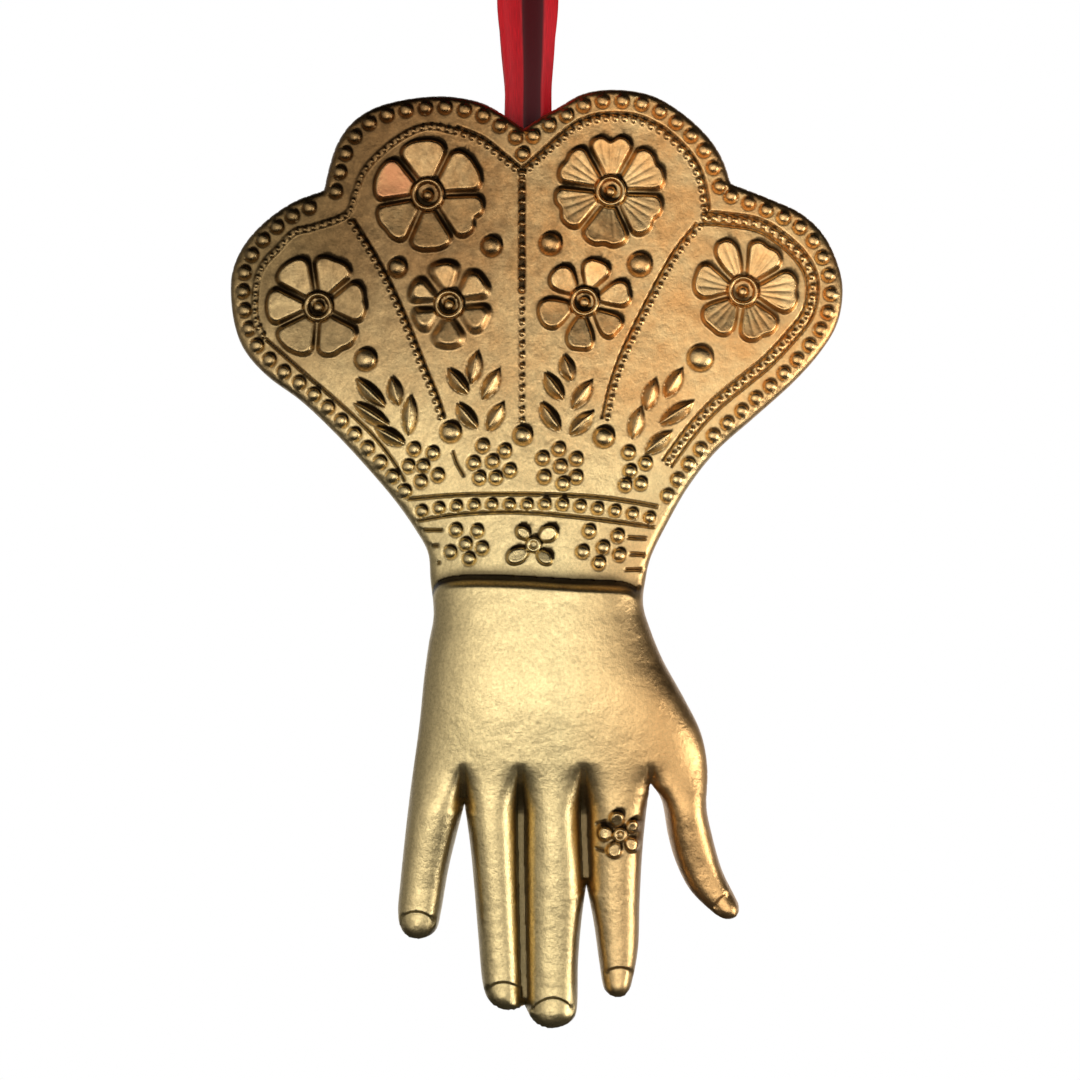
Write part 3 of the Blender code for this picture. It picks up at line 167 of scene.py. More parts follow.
def ribbon_loft(name, stations, finish, body):
    """A folded strip through stations of (middle, wide axis, deep axis, width, fold, flip, sag)."""
    rings, across, along, fold_shade_share, travelled = [], [], [], [], 0.0
    count = None
    last = None
    for middle, wide, deep, width, fold, flip, sag in stations:
        section, run = ribbon_section(width, fold, flip)
        if count is None:
            count = len(section)
        elif len(section) != count:
            spots = np.linspace(0, len(section) // 2 - 1, count // 2)
            half = len(section) // 2
            picked = np.concatenate([spots, half + spots])
            index = np.arange(len(section))
            section = np.column_stack([np.interp(picked, index, section[:, k]) for k in (0, 1)])
            run = np.interp(picked, index, run)
        drop = sag * (RING_RADIUS - np.sqrt(np.clip(RING_RADIUS**2 - section[:, 0]**2, 0.0, None)))
        ring = np.asarray(middle) + np.outer(section[:, 0], wide) + np.outer(section[:, 1], deep)
        ring[:, 2] -= drop
        travelled += 0.0 if last is None else float(np.linalg.norm(np.asarray(middle) - last))
        last = np.asarray(middle, float)
        rings.append(ring)
        across.append(run)
        along.append(np.full(count, travelled))
        # The middle panel of a deep, narrow fold gets a painted shade.
        past_edges = np.stack([run - FOLD_SHADE_START, FOLD_SHADE_STOP - run]) / FOLD_SHADE_SOFTNESS
        fold_shade_share.append(smooth(past_edges).prod(axis=0) * smooth((fold / width - 0.1) / 0.1))
    vertices = np.vstack(rings)
    faces = []
    for s in range(len(rings) - 1):
        for i in range(count):
            j = (i + 1) % count
            faces.append((s * count + i, s * count + j, (s + 1) * count + j, (s + 1) * count + i))
    for start in (0, (len(rings) - 1) * count):
        for i in range(count // 2 - 1):
            near = (start + i, start + i + 1, start + count - 2 - i, start + count - 1 - i)
            faces.append(near[::-1] if start == 0 else near)
    corners = vertices[[f[:3] for f in faces]]
    volume = np.einsum("ij,ij->i", corners[:, 0], np.cross(corners[:, 1], corners[:, 2])).sum()
    if volume < 0:
        faces = [f[::-1] for f in faces]
    made = add_mesh(name, vertices, faces, finish, body, 60)
    lay_weave(made, np.concatenate(across), np.concatenate(along))
    field = made.data.attributes.new("painted_fold_shade", "FLOAT", "POINT")
    field.data.foreach_set("value", np.concatenate(fold_shade_share).astype(np.float32))
    return made


def set_inputs(node, values):
    """Gives a node's inputs these values, or links them to other nodes' outputs."""
    for key, value in values.items():
        socket = node.inputs[key]
        if isinstance(value, bpy.types.NodeSocket):
            node.id_data.links.new(value, socket)
        elif socket.type == "RGBA":
            socket.default_value = (*value, 1.0)
        else:
            socket.default_value = value


def add_node(tree, kind, values=None, **settings):
    made = tree.nodes.new("ShaderNode" + kind)
    for key, value in settings.items():
        setattr(made, key, value)
    set_inputs(made, values or {})
    return made


def start_material(name, values):
    """A new material, its node tree, and its shader with these values."""
    made = bpy.data.materials.new(name)
    made.use_nodes = True
    shader = made.node_tree.nodes["Principled BSDF"]
    set_inputs(shader, values)
    return made, made.node_tree, shader


def noise_over(place, scale, detail, roughness=0.5):
    values = {"Vector": place, "Scale": scale, "Detail": detail, "Roughness": roughness}
    return add_node(place.id_data, "TexNoise", values).outputs["Fac"]


def ranged(value, start, stop, first=0.0, last=1.0, **settings):
    """A value that goes from first to last while the given one goes from start to stop."""
    values = {"Value": value, "From Min": start, "From Max": stop, "To Min": first, "To Max": last}
    return add_node(value.id_data, "MapRange", values, **settings).outputs["Result"]


def maths(operation, *values):
    numbered = dict(enumerate(values))
    return add_node(values[0].id_data, "Math", numbered, operation=operation).outputs["Value"]


def product(first, *others):
    for other in others:
        first = maths("MULTIPLY", first, other)
    return first


def mixed(share, first, second):
    """The first colour where share is 0 and the second where it is 1."""
    values = {"Factor": share, "A": first, "B": second}
    return add_node(share.id_data, "Mix", values, data_type="RGBA").outputs["Result"]


def two_tone(value, *stops):
    """A colour that follows the value, from two stops of (value, colour)."""
    ramp = add_node(value.id_data, "ValToRGB", {"Fac": value})
    for element, (at, colour) in zip(ramp.color_ramp.elements, stops):
        element.position = at
        element.color = (*colour, 1.0)
    return ramp.outputs["Color"]


def add_bump(shader, height, strength, depth):
    """Roughens a shader's surface by a height, of a depth in millimetres."""
    values = {"Height": height, "Strength": strength, "Distance": depth * MM}
    set_inputs(shader, {"Normal": add_node(shader.id_data, "Bump", values).outputs["Normal"]})


def satin(name, colour, fold_shade_colour):
    """Red satin: fine threads along the strip, a soft sheen, and a painted shade in the deep folds.
    """
    made, tree, shader = start_material(name, {
        "Roughness": 0.36, "Specular IOR Level": 0.3, "Sheen Weight": 0.15, "Sheen Roughness": 0.4,
        "Sheen Tint": (1.0, 0.45, 0.45)})
    place = add_node(tree, "UVMap", uv_map="weave").outputs["UV"]
    drawn_out = add_node(tree, "Mapping", {"Vector": place, "Scale": THREAD_STRETCH})
    threads = noise_over(drawn_out.outputs["Vector"], 1.0, 3.0)
    bright = two_tone(threads, (0.3, [c * 0.72 for c in colour]),
                      (0.7, [min(1.0, c * 1.2) for c in colour]))
    # The painted shade of the folds, dark red where the attribute is 1.
    fold = add_node(tree, "Attribute", attribute_name="painted_fold_shade").outputs["Fac"]
    set_inputs(shader, {"Base Color": mixed(fold, bright, fold_shade_colour)})
    ribs = add_node(tree, "TexWave", {"Vector": place, "Scale": 1.6, "Distortion": 0.4},
                    bands_direction="Y").outputs["Fac"]
    add_bump(shader, maths("MULTIPLY_ADD", ribs, 0.15, threads), 0.35, 0.05)
    return made


# The last colour is the painted shade in the folds.
red_satin = satin("red_satin", (0.72, 0.01, 0.02), (0.09, 0.002, 0.006))


def strand_stations(side):
    """Stations of one strand; side -1 is the front one."""
    top_wire = RING_CENTRE_Z + RING_RADIUS
    stations = []
    start = math.asin(GAP / 2 / BIGHT_RADIUS)
    for way in np.linspace(start, math.pi / 2, 9):
        place = (0.0, side * BIGHT_RADIUS * math.sin(way), top_wire - BIGHT_RADIUS * math.cos(way))
        deep = (0.0, math.sin(way), -side * math.cos(way))
        stations.append((place, (1, 0, 0), deep, BIGHT_WIDTH, TIGHT_FOLD, side, 1.0))
    known = np.array([(0.0, BIGHT_WIDTH, TIGHT_FOLD, BIGHT_RADIUS, 1.0)] + STRAND_RUN)
    for rise, width, fold, away, sag in curve_through(known, STATION_STEP)[1:]:
        held = float(smooth(rise / SWAY_GROWS) * smooth((SWAY_STOPS - rise) / SWAY_FADES))
        sway = SWAY * math.sin(SWAY_TURN * rise + side) * held
        place = (sway, side * away, top_wire + rise)
        stations.append((place, (1, 0, 0), (0, 1, 0), width, fold, side, max(sag, 0.0)))
    return stations


for strand_name, strand_side in (("ribbon_front_strand", -1), ("ribbon_back_strand", 1)):
    stations = strand_stations(strand_side)
    strand = ribbon_loft("satin_" + strand_name[7:], stations, red_satin, "ribbon")
    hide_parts(strand_name)


# The knot: both strands are tied together in one overhand knot. A pleated bundle runs up through
# it, and a slanting turn of the same ribbon binds the bundle tight.
KNOT_MIDDLE = (0.0, 0.0, 4.2)
KNOT_HALF = (4.15, 2.85, 3.45)
CORE_SHARE = 0.84
CORE_END = 0.97
CORE_NECK = 0.16
CORE_ROWS = 40
CORE_AROUND = 144
CORE_PLEATS = 9
PLEAT_DEPTH = 0.055
WRAP_LINE = (0.8, 0.6)
WRAP_WIDTH = 4.4
WRAP_DEEP = 1.5
WRAP_OUT = 0.85
WRAP_TUCKED = 0.45
WRAP_FROM = 100.0
WRAP_TO = 490.0
WRAP_TURN = 6.0
WRAP_COMES_OUT = 0.14
WRAP_GOES_IN = 0.1


def knot_core():
    """The bundle: a ball with lengthwise pleats that draw in to a neck below and above."""
    rows, around = CORE_ROWS, CORE_AROUND
    vertices = []
    turn = np.linspace(0.0, 2 * math.pi, around, endpoint=False)
    for rise in np.linspace(-CORE_END, CORE_END, rows):
        full = math.sqrt(1.0 - rise**2)
        wave = turn * CORE_PLEATS + 1.3 * rise + 0.5 * np.sin(3 * turn + 2 * rise)
        pleat = 1.0 - PLEAT_DEPTH * (1.0 + np.cos(wave)) * (1.15 - 0.5 * full)
        out = CORE_SHARE * (CORE_NECK + (1.0 - CORE_NECK) * full) * pleat
        vertices += [(KNOT_MIDDLE[0] + KNOT_HALF[0] * r * math.cos(t),
                      KNOT_HALF[1] * r * math.sin(t), KNOT_MIDDLE[2] + KNOT_HALF[2] * rise)
                     for r, t in zip(out, turn)]
    faces = [(r * around + i, r * around + (i + 1) % around, (r + 1) * around + (i + 1) % around,
              (r + 1) * around + i) for r in range(rows - 1) for i in range(around)]
    faces += [tuple(range(around))[::-1], tuple((rows - 1) * around + i for i in range(around))]
    made = add_mesh("knot_bundle", vertices, faces, red_satin, "ribbon", 75)
    x, y, z = np.array(vertices).T
    lay_weave(made, np.arctan2(y, x) * RIBBON_WIDTH / math.pi, z)
    return made


def knot_wrap():
    """The turn that binds the bundle: a folded strip that starts and ends under itself behind."""
    across, up = WRAP_LINE
    half = np.array(KNOT_HALF)
    stations = []
    for turn in np.arange(WRAP_FROM, WRAP_TO, WRAP_TURN):
        share = (turn - WRAP_FROM) / (WRAP_TO - WRAP_FROM)
        shown = float(smooth(share / WRAP_COMES_OUT) * smooth((1.0 - share) / WRAP_GOES_IN))
        way = math.radians(turn)
        flat = np.array([across * math.cos(way), math.sin(way), up * math.cos(way)])
        out = WRAP_TUCKED + (WRAP_OUT - WRAP_TUCKED) * shown
        place = np.array(KNOT_MIDDLE) + half * flat * out
        outward = flat / half
        outward /= np.linalg.norm(outward)
        along = half * [-across * math.sin(way), math.cos(way), -up * math.sin(way)]
        along /= np.linalg.norm(along)
        wide = np.cross(outward, along)
        width = WRAP_WIDTH * (0.78 + 0.22 * math.sin(way)**2)
        stations.append((place, wide / np.linalg.norm(wide), outward, width, WRAP_DEEP, 1, 0.0))
    return ribbon_loft("knot_wrap", stations, red_satin, "ribbon")


core, wrap = knot_core(), knot_wrap()
for piece in (core, wrap):
    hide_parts("ribbon_knot")


# The tails are the ribbon's two cut ends. They come up out of the knot folded, open to their full
# width and lean apart, and each is cut on a slant so that it frays less.
TAIL_LENGTH = 15.0
TAIL_ROOT_WIDTH = 3.0
TAIL_ROOT_Z = 7.8
TAIL_FOLD = 0.75
TAIL_LEAN = 12.0
TAIL_LEAN_MORE = 38.0
TAIL_BEND = 0.75
TAIL_TO_FRONT = 0.16
TAIL_SPREAD = 1.3
TAIL_SLANT = 1.1
TAIL_RIPPLE = 0.35
TAIL_TILT = 0.25
TAIL_STATIONS = 34
CUT_REACH = 5.0
# Two stations of a tail inside the knot: how far in and down from its root, and how wide it is.
INSIDE_KNOT = ((1.1, 2.6, 2.4), (0.5, 1.2, 2.8))

for tail_name, side in (("ribbon_tail_left", -1), ("ribbon_tail_right", 1)):
    root = np.array([side * (TAIL_ROOT_WIDTH / 2 + 2 * GAP), 0.0, TAIL_ROOT_Z])
    stations = [(root + (-side * inward, 0.0, -down), (1, 0, 0), (0, 1, 0), width, TIGHT_FOLD, side,
                 0.0) for inward, down, width in INSIDE_KNOT]
    for share in np.linspace(0.0, 1.0, TAIL_STATIONS):
        lean = math.radians(TAIL_LEAN + TAIL_LEAN_MORE * share)
        way = np.array([side * math.sin(TAIL_BEND * lean), side * TAIL_TO_FRONT * share,
                        math.cos(TAIL_BEND * lean)])
        place = root + TAIL_LENGTH * share * way
        place[1] += TAIL_RIPPLE * math.sin(5.5 * share + side) * share
        spread = float(smooth(share * TAIL_SPREAD))
        tilt = TAIL_TILT * side * math.sin(3.0 * share)
        wide = np.array([math.cos(lean) * math.cos(tilt), math.sin(tilt), -side * math.sin(lean)])
        stations.append((place, wide / np.linalg.norm(wide), (0.0, 1.0, 0.0),
                         TAIL_ROOT_WIDTH + (RIBBON_WIDTH - TAIL_ROOT_WIDTH) * spread,
                         TIGHT_FOLD + (TAIL_FOLD - TIGHT_FOLD) * spread, side, 0.0))
    tail = ribbon_loft("satin_" + tail_name[7:], stations, red_satin, "ribbon")
    way = np.array(stations[-1][0]) - stations[-2][0]
    way /= np.linalg.norm(way)
    wide = stations[-1][1]
    for vertex in tail.data.vertices:
        from_end = np.array(vertex.co) / MM - stations[-1][0]
        near_end = float(smooth(1.0 + (from_end @ way) / CUT_REACH))
        slide = side * TAIL_SLANT * near_end * (from_end @ wide) / (RIBBON_WIDTH / 2)
        vertex.co += Vector(way * slide * MM)
    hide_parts(tail_name)


# The pressed hand is one sheet of brass, struck into a mould from the back and cut round. The
# pattern on its cuff stands proud, with dark oxide in its hollows and a painted shadow on the
# upper right side of every raised part.
SHEET = 0.5
CUT_EDGE = 0.2
EDGE_ROLL = 1.1
ROLL_POWER = 2.4
NOTCH_X = -0.6
NOTCH_Z = -55.0
BACK_PLANE_Y = -2.5

# How high each form rises, and how its section curves.
CUFF_RISE = 1.8
CUFF_DOME = 1.9
WRIST_DOME = 2.9
PALM_RISE = 8.0
PALM_POWER = 3.4
KNUCKLE_RISE = 6.0
FINGERTIP_RISE = 4.2
THUMB_TIP_RISE = 3.6
FINGER_LAND = 1.2
FINGER_LAND_HALF = 0.4
SWELL_POWER = 2.4
STEP_ROUND = 1.5
STEP_POWER = 1.7

# Where the forms start and end, down from the notch, and how wide the cuff flares.
FLARE_START = -56.0
FLARE_LENGTH = 36.0
WRIST_HALF = 14.0
CUFF_HALF = 38.5
CUFF_MIDDLE = 1.8
CUFF_END = -46.5
PALM_FALL = -66.0
KNUCKLE_TOP = -77.5
KNUCKLE_END = -85.0

# The raised pattern: petals, rings, leaves, beads, ropes, and the moats and lines cut beside them.
PETAL_RISE = 1.1
PETAL_ROOT = 0.4
PETAL_ROOT_RUN = 0.4
PETAL_BOW = 0.09
PETAL_SIDE_CORNER = 0.8
PETAL_CORNER = 1.1
DENT_HALF = 0.8
FLOWER_RING_RISE = 0.75
FLOWER_RING_HALF = 0.35
FLOWER_BUTTON = 0.65
LEAF_RISE = 0.75
LEAF_HALF = 0.88
LEAF_POWER = 1.3
BALL_RISE = 0.9
BEAD_RISE = 0.5
BORDER_BEAD = 1.55
BORDER_PITCH = 2.35
BORDER_INSET = 1.65
BAND_BEAD = 1.35
BAND_PITCH = 2.18
CLUSTER_BEAD = 1.5
ROPE_RISE = 0.32
MOAT_DEPTH = 0.16
MOAT_WIDE = 0.3
LINE_DEPTH = 0.36
LINE_HALF = 0.27

# Where the oxide and the painted shade lie and how they thin at the rim, and the petal that is
# rubbed to copper.
LIFTED_FROM = 0.25
LIFTED_RUN = 0.3
FILM_FROM = 0.05
FILM_RUN = 0.22
# Painted shade on the hollows' walls that turn up and right: its least share and the share added.
FACING_SHADE_LEAST = 0.05
FACING_SHADE_MORE = 0.4
FLAT_SLOPE = 0.12
EDGE_KEEPS = 0.45
EDGE_FROM = 0.5
EDGE_RUN = 0.8
# The painted shadow: the way that it lies from raised parts, how many rows it reaches near and far,
# and its strength; then how far under the step the painted shade reaches.
LEE_WAY = (0.6, 0.8)
LEE_ROWS = 3
FAR_LEE_ROWS = 5
LEE_SHADE = 1.2
STEP_SHADE = 0.9
NAILS_FROM = -91.8
RUBBED_PETAL = 160.0
RUBBED_HALF_TURN = 28.0
RUBBED_FROM = 2.1
RUBBED_TO = 6.4

# The outline, in stretches that meet at corners.
OUTLINE = [
    [(0.1, -0.4), (-2.3, 1.3), (-4.8, 2.7), (-7.7, 3.4), (-10.6, 3.6), (-14.5, 3.2), (-18.2, 2.2),
     (-21.0, 0.4), (-22.8, -2.1), (-23.8, -4.9), (-24.5, -7.9)],
    [(-24.5, -7.9), (-28.2, -9.3), (-31.6, -11.6), (-34.2, -14.4), (-35.7, -17.5), (-36.0, -20.6),
     (-35.5, -24.5), (-34.2, -27.7), (-31.4, -30.8), (-27.2, -33.9), (-23.0, -37.9), (-19.2, -42.0),
     (-15.8, -46.0), (-13.2, -49.7), (-11.7, -52.5), (-11.4, -55.8), (-11.0, -60.0), (-11.6, -63.6),
     (-12.2, -68.0), (-12.8, -73.9), (-13.8, -81.2), (-14.5, -87.1), (-15.1, -92.9), (-15.4, -96.6),
     (-15.0, -98.8), (-13.8, -99.9), (-12.1, -99.9), (-10.7, -98.9), (-10.1, -96.7), (-9.2, -91.5),
     (-8.2, -87.3), (-7.2, -83.4)],
    [(-7.2, -83.4), (-6.5, -88.5), (-6.0, -93.7), (-5.5, -99.8), (-5.0, -105.3), (-4.2, -107.6),
     (-2.8, -108.5), (-1.2, -108.7), (0.2, -108.2)],
    [(0.2, -108.2), (1.3, -110.1), (2.9, -110.9), (4.8, -110.7), (6.2, -109.9), (6.7, -108.1),
     (6.8, -102.8), (7.2, -97.9), (7.8, -93.4)],
    [(7.8, -93.4), (8.7, -97.9), (9.4, -102.9), (9.9, -105.9), (10.6, -106.8), (11.7, -107.1),
     (12.8, -106.7), (13.4, -105.4), (14.2, -101.0), (14.4, -94.9), (14.8, -88.2), (15.6, -80.7)],
    [(15.6, -80.7), (17.1, -83.0), (17.9, -87.3), (18.9, -90.7), (20.6, -94.0), (23.2, -96.6),
     (24.9, -97.6), (26.3, -97.3), (26.6, -96.0), (26.0, -94.6), (24.5, -91.5), (23.3, -87.3),
     (22.6, -83.6), (22.7, -78.8), (21.9, -74.6), (19.9, -70.5), (17.2, -65.6), (15.5, -61.4),
     (14.8, -58.7), (15.1, -55.8), (15.8, -52.9), (17.7, -49.0), (20.4, -44.3), (23.9, -39.9),
     (28.4, -35.9), (33.2, -31.6), (36.6, -27.8), (38.7, -24.3), (39.4, -20.4), (38.8, -17.0),
     (37.0, -13.3), (34.2, -10.7), (30.5, -9.0), (25.6, -7.1)],
    [(25.6, -7.1), (24.5, -4.0), (22.6, -1.2), (19.5, 1.6), (15.8, 3.7), (11.4, 4.4), (7.4, 3.9),
     (4.3, 2.2), (2.1, 1.0), (0.1, -0.4)],
]
PALM_LEFT = [(-11.4, -54.0), (-11.0, -60.0), (-11.6, -63.6), (-12.2, -68.0), (-12.8, -73.9),
             (-13.8, -81.2), (-14.4, -87.0)]
PALM_RIGHT = [(14.8, -54.0), (14.8, -58.7), (15.5, -61.4), (17.2, -65.6), (19.9, -70.5),
              (21.9, -74.6), (22.7, -79.0), (22.7, -87.0)]
STEP_LINE = [(-11.3, -58.4), (-10.9, -56.8), (-9.8, -55.7), (-6.5, -55.2), (-0.4, -55.3),
             (6.3, -55.7), (12.0, -56.0), (14.0, -56.8)]
STEP_TOP = max(z for _, z in STEP_LINE)

# Middle lines of the four fingers and the thumb, and the grooves between them.
FINGERS = [
    [(-10.4, -75.0), (-10.7, -84.1), (-11.6, -88.5), (-12.3, -92.9), (-12.7, -96.6)],
    [(-4.0, -75.0), (-3.9, -84.1), (-3.5, -90.0), (-3.0, -98.0), (-2.4, -105.8)],
    [(3.5, -75.0), (3.7, -84.1), (3.9, -90.0), (3.8, -98.0), (3.7, -107.6)],
    [(11.5, -75.0), (11.5, -84.1), (11.4, -92.0), (11.5, -98.8), (11.7, -104.8)],
]
THUMB = [(18.4, -76.0), (19.6, -83.0), (20.6, -88.0), (22.4, -92.6), (24.9, -95.8)]
GROOVES = [
    [(-7.3, -77.0), (-7.2, -83.4)],
    [(-0.3, -77.0), (-0.2, -90.0), (0.0, -99.8), (0.2, -108.2)],
    [(7.3, -77.0), (7.5, -86.3), (7.8, -93.4)],
    [(15.5, -77.0), (15.6, -80.7)],
]

# Flowers: middle, ring radius, gap between the petals, width of the petals' walls, and each
# petal's direction in degrees, reach, half width and the depth of the dent in its outer end.
FLOWERS = [
    ((-11.6, -8.8), 1.7, 0.0, 0.7, [
        (96, 7.1, 3.5, 0.1), (31, 7.3, 3.6, 0.1), (-28, 7.5, 3.6, 0.7), (-87, 7.2, 3.5, 0.1),
        (-140, 7.2, 3.6, 0.2), (160, 7.0, 3.5, 0)]),
    ((10.7, -8.4), 1.6, 0.0, 0.7, [
        (90, 7.2, 3.4, 0.8), (31, 7.3, 3.5, 0.4), (-34, 7.1, 3.5, 0.5), (-97, 7.2, 3.5, 0.4),
        (-160, 7.3, 3.5, 0.5), (146, 7.2, 3.5, 0.3)]),
    ((-25.0, -22.4), 1.5, 0.0, 0.7, [
        (127, 6.9, 3.2, 0), (70, 6.6, 3.3, 0.2), (8, 6.3, 3.3, 0.2), (-61, 6.6, 3.4, 0.3),
        (-127, 6.7, 3.3, 0), (178, 6.7, 3.1, 0)]),
    ((26.9, -20.5), 1.6, 0.15, 0.6, [
        (113, 7.0, 1.7, 0.1), (60, 6.8, 3.0, 0.3), (0, 7.1, 3.1, 0.3), (-66, 6.6, 3.0, 0.3),
        (-131, 6.5, 2.7, 0.2), (163, 6.5, 2.8, 0.1)]),
    ((-9.0, -22.2), 1.5, 0.0, 1.1, [
        (100, 5.7, 2.7, 0), (34, 5.8, 2.7, 0.1), (-24, 5.6, 2.6, 0.1), (-92, 5.7, 2.7, 0),
        (-153, 5.1, 2.6, 0), (156, 5.5, 2.6, 0)]),
    ((7.5, -21.9), 1.5, 0.4, 0.6, [
        (69, 5.7, 2.3, 0.1), (13, 6.1, 2.1, 0.2), (-42, 5.9, 2.1, 0.2), (-96, 6.3, 2.1, 0.2),
        (-161, 6.1, 2.3, 0), (134, 5.6, 2.1, 0)]),
    ((11.8, -86.6), 0.6, 0.15, 0.45, [
        (100, 3.1, 1.5, 0), (35, 2.9, 1.4, 0), (-40, 3.0, 1.5, 0), (-110, 3.1, 1.5, 0),
        (175, 2.9, 1.6, 0)]),
    ((1.3, -51.5), 0.65, 0.5, 0.45, [
        (132, 3.1, 1.1, 0), (36, 3.6, 1.3, 0), (-148, 3.9, 1.25, 0), (-47, 3.3, 1.1, 0)]),
]
VEINED = (1, 3)
VEIN_DEPTH = 0.06
VEIN_TURN = 11.0
BALLS = [(-3.8, -15.0, 1.2), (-15.3, -17.6, 1.1), (3.4, -14.7, 1.3), (14.3, -17.2, 1.4),
         (-19.2, -28.8, 1.3), (21.7, -28.6, 1.5), (-8.8, -37.7, 1.2), (0.0, -38.1, 1.1),
         (9.9, -38.3, 1.2)]
LEAVES = [
    (-20.5, -31.1, -16.7, -34.8), (-16.1, -30.9, -15.1, -34.6), (-13.7, -33.1, -14.0, -38.3),
    (-20.8, -34.1, -16.2, -37.1), (-18.2, -37.1, -14.3, -39.3), (-5.5, -27.8, -6.3, -32.0),
    (-9.2, -30.0, -6.6, -33.2), (-2.8, -30.0, -5.0, -33.9), (-8.1, -34.2, -5.5, -37.4),
    (-2.3, -34.1, -4.4, -37.7), (4.9, -28.3, 6.0, -31.6), (2.6, -30.5, 5.0, -33.9),
    (8.5, -31.4, 5.9, -35.0), (2.1, -34.1, 4.6, -37.7), (8.7, -35.2, 5.6, -38.1),
    (16.2, -31.1, 15.0, -35.2), (19.5, -29.9, 17.3, -33.6), (14.4, -34.6, 13.3, -38.7),
    (21.0, -33.9, 16.6, -36.8), (18.3, -37.6, 14.8, -40.4),
]
CLUSTERS = [
    (-13.3, -39.8), (-11.0, -40.3), (-14.0, -41.9), (-12.2, -41.9), (-10.4, -43.0),
    (-12.5, -43.8), (-4.9, -39.4), (-2.2, -40.0), (-6.0, -41.5), (-3.7, -41.3), (-1.6, -42.4),
    (-5.3, -43.3), (-3.3, -43.3), (4.4, -39.8), (2.4, -40.9), (6.5, -41.0), (4.6, -41.9),
    (2.6, -43.2), (6.5, -43.2), (4.9, -44.0), (12.9, -40.2), (15.0, -41.5), (13.1, -42.5),
    (12.5, -44.2), (14.4, -44.0),
    (-8.2, -49.7), (-5.6, -49.8), (-7.0, -51.4), (-8.9, -52.4), (-5.0, -51.9), (-6.6, -53.2),
    (8.1, -49.8), (11.6, -50.4), (7.3, -52.3), (9.8, -51.8), (11.8, -52.7), (9.3, -53.7),
]
BAND_ROW = [(-12.4, -47.4), (-9.2, -46.9), (-4.8, -46.6), (-0.2, -46.6), (4.3, -46.5),
            (8.8, -47.0), (13.3, -47.7), (15.5, -48.2)]

# Ropes of small beads round the panels: the line, the sides on which a dark line runs beside it,
# the beads' diameter and pitch, and the height of the ridge or depth of the groove they lie in.
ROPES = [
    ([(-0.2, -6.3), (-2.7, -4.3), (-5.1, -2.4), (-8.2, -1.1)], (-1,), 0.72, 1.1, 0.0),
    ([(-8.2, -1.1), (-11.4, -0.5), (-14.4, -1.5), (-17.5, -3.8), (-19.5, -6.1), (-20.5, -8.7),
      (-21.6, -11.2), (-25.6, -12.7), (-28.0, -13.3), (-30.0, -15.3), (-31.7, -17.1),
      (-32.6, -19.4), (-32.8, -23.6), (-31.9, -25.9)], (), 0.6, 1.05, 0.2),
    ([(0.0, -6.3), (2.3, -4.3), (4.4, -2.4), (6.5, -0.7), (8.7, 0.2), (11.2, 0.5), (13.9, 0.2),
      (16.6, -1.0), (18.7, -2.7), (20.3, -4.5), (21.4, -6.7), (22.0, -9.5), (22.1, -11.5)],
     (1,), 0.8, 1.15, 0.0),
    ([(22.1, -11.5), (24.8, -11.7), (28.7, -12.3), (31.4, -13.8), (33.8, -15.9), (35.2, -18.1),
      (35.5, -20.4), (34.8, -23.3), (32.7, -26.0), (30.0, -28.9), (27.5, -31.0), (23.4, -34.4),
      (20.4, -37.7), (17.7, -41.4)], (1, -1), 0.8, 1.25, 0.0),
    ([(-0.1, -7.0), (-0.1, -20.4)], (), 0.74, 1.34, -0.34),
    ([(-0.1, -21.7), (-0.1, -36.4)], (), 0.74, 1.34, -0.1),
    ([(-21.1, -12.1), (-17.9, -17.3), (-15.6, -22.0), (-13.9, -26.1), (-12.3, -30.2),
      (-11.0, -33.3), (-10.1, -36.0)], (1,), 0.62, 1.05, 0.0),
    ([(21.6, -12.7), (19.2, -15.6), (17.3, -18.8), (15.5, -22.2), (13.9, -25.4), (12.3, -28.9),
      (11.0, -32.8), (10.3, -36.0)], (-1,), 0.75, 1.25, 0.0),
]
ROPE_BED = 0.55

# Fine lines scribed into the mould: beside the lower left rope, over and under the bead band,
# ticks at both ends of the lower band, the slit between two clusters and the ring's two edges.
SCRIBED = [
    [(-31.9, -25.9), (-31.1, -26.6), (-26.7, -30.5), (-22.3, -34.3), (-18.4, -38.0), (-15.8, -41.3),
     (-14.5, -43.6)],
    [(-14.0, -45.9), (-7.7, -45.4), (0.0, -45.3), (7.0, -45.5), (11.8, -46.0), (16.4, -46.8)],
    [(-13.1, -48.6), (-7.3, -47.7), (0.0, -47.5), (7.0, -48.1), (12.5, -48.8), (16.0, -49.3)],
    [(-12.4, -49.7), (-9.9, -49.7)], [(-12.2, -51.7), (-10.4, -51.6)],
    [(-12.2, -53.7), (-10.2, -53.7)], [(12.9, -50.6), (15.0, -50.7)],
    [(13.2, -52.6), (14.9, -52.7)], [(12.6, -54.5), (14.6, -54.5)],
    [(-8.5, -40.2), (-8.0, -41.6), (-7.2, -43.0)],
    [(9.0, -85.4), (10.0, -85.0)], [(9.0, -88.4), (10.0, -88.7)],
    [(13.9, -84.9), (14.7, -85.2)], [(13.9, -88.6), (14.7, -88.2)],
]

# Nails: the middle of each root's edge and half the plate's width. A plate sinks at its root.
NAILS = [(-12.7, -96.0, 1.9), (-2.6, -104.6, 2.1), (3.7, -106.5, 2.3), (11.7, -102.8, 1.6),
         (24.2, -94.3, 1.4)]
NAIL_DROP = 0.5
NAIL_LENGTH = 4.2
NAIL_CURVE = 0.22
FINE_STEP = 0.15
FRONT_KEEP = 0.006
BACK_KEEP = 0.03
RECESS_REACH = 0.75
VALLEY_REACH = 1.8


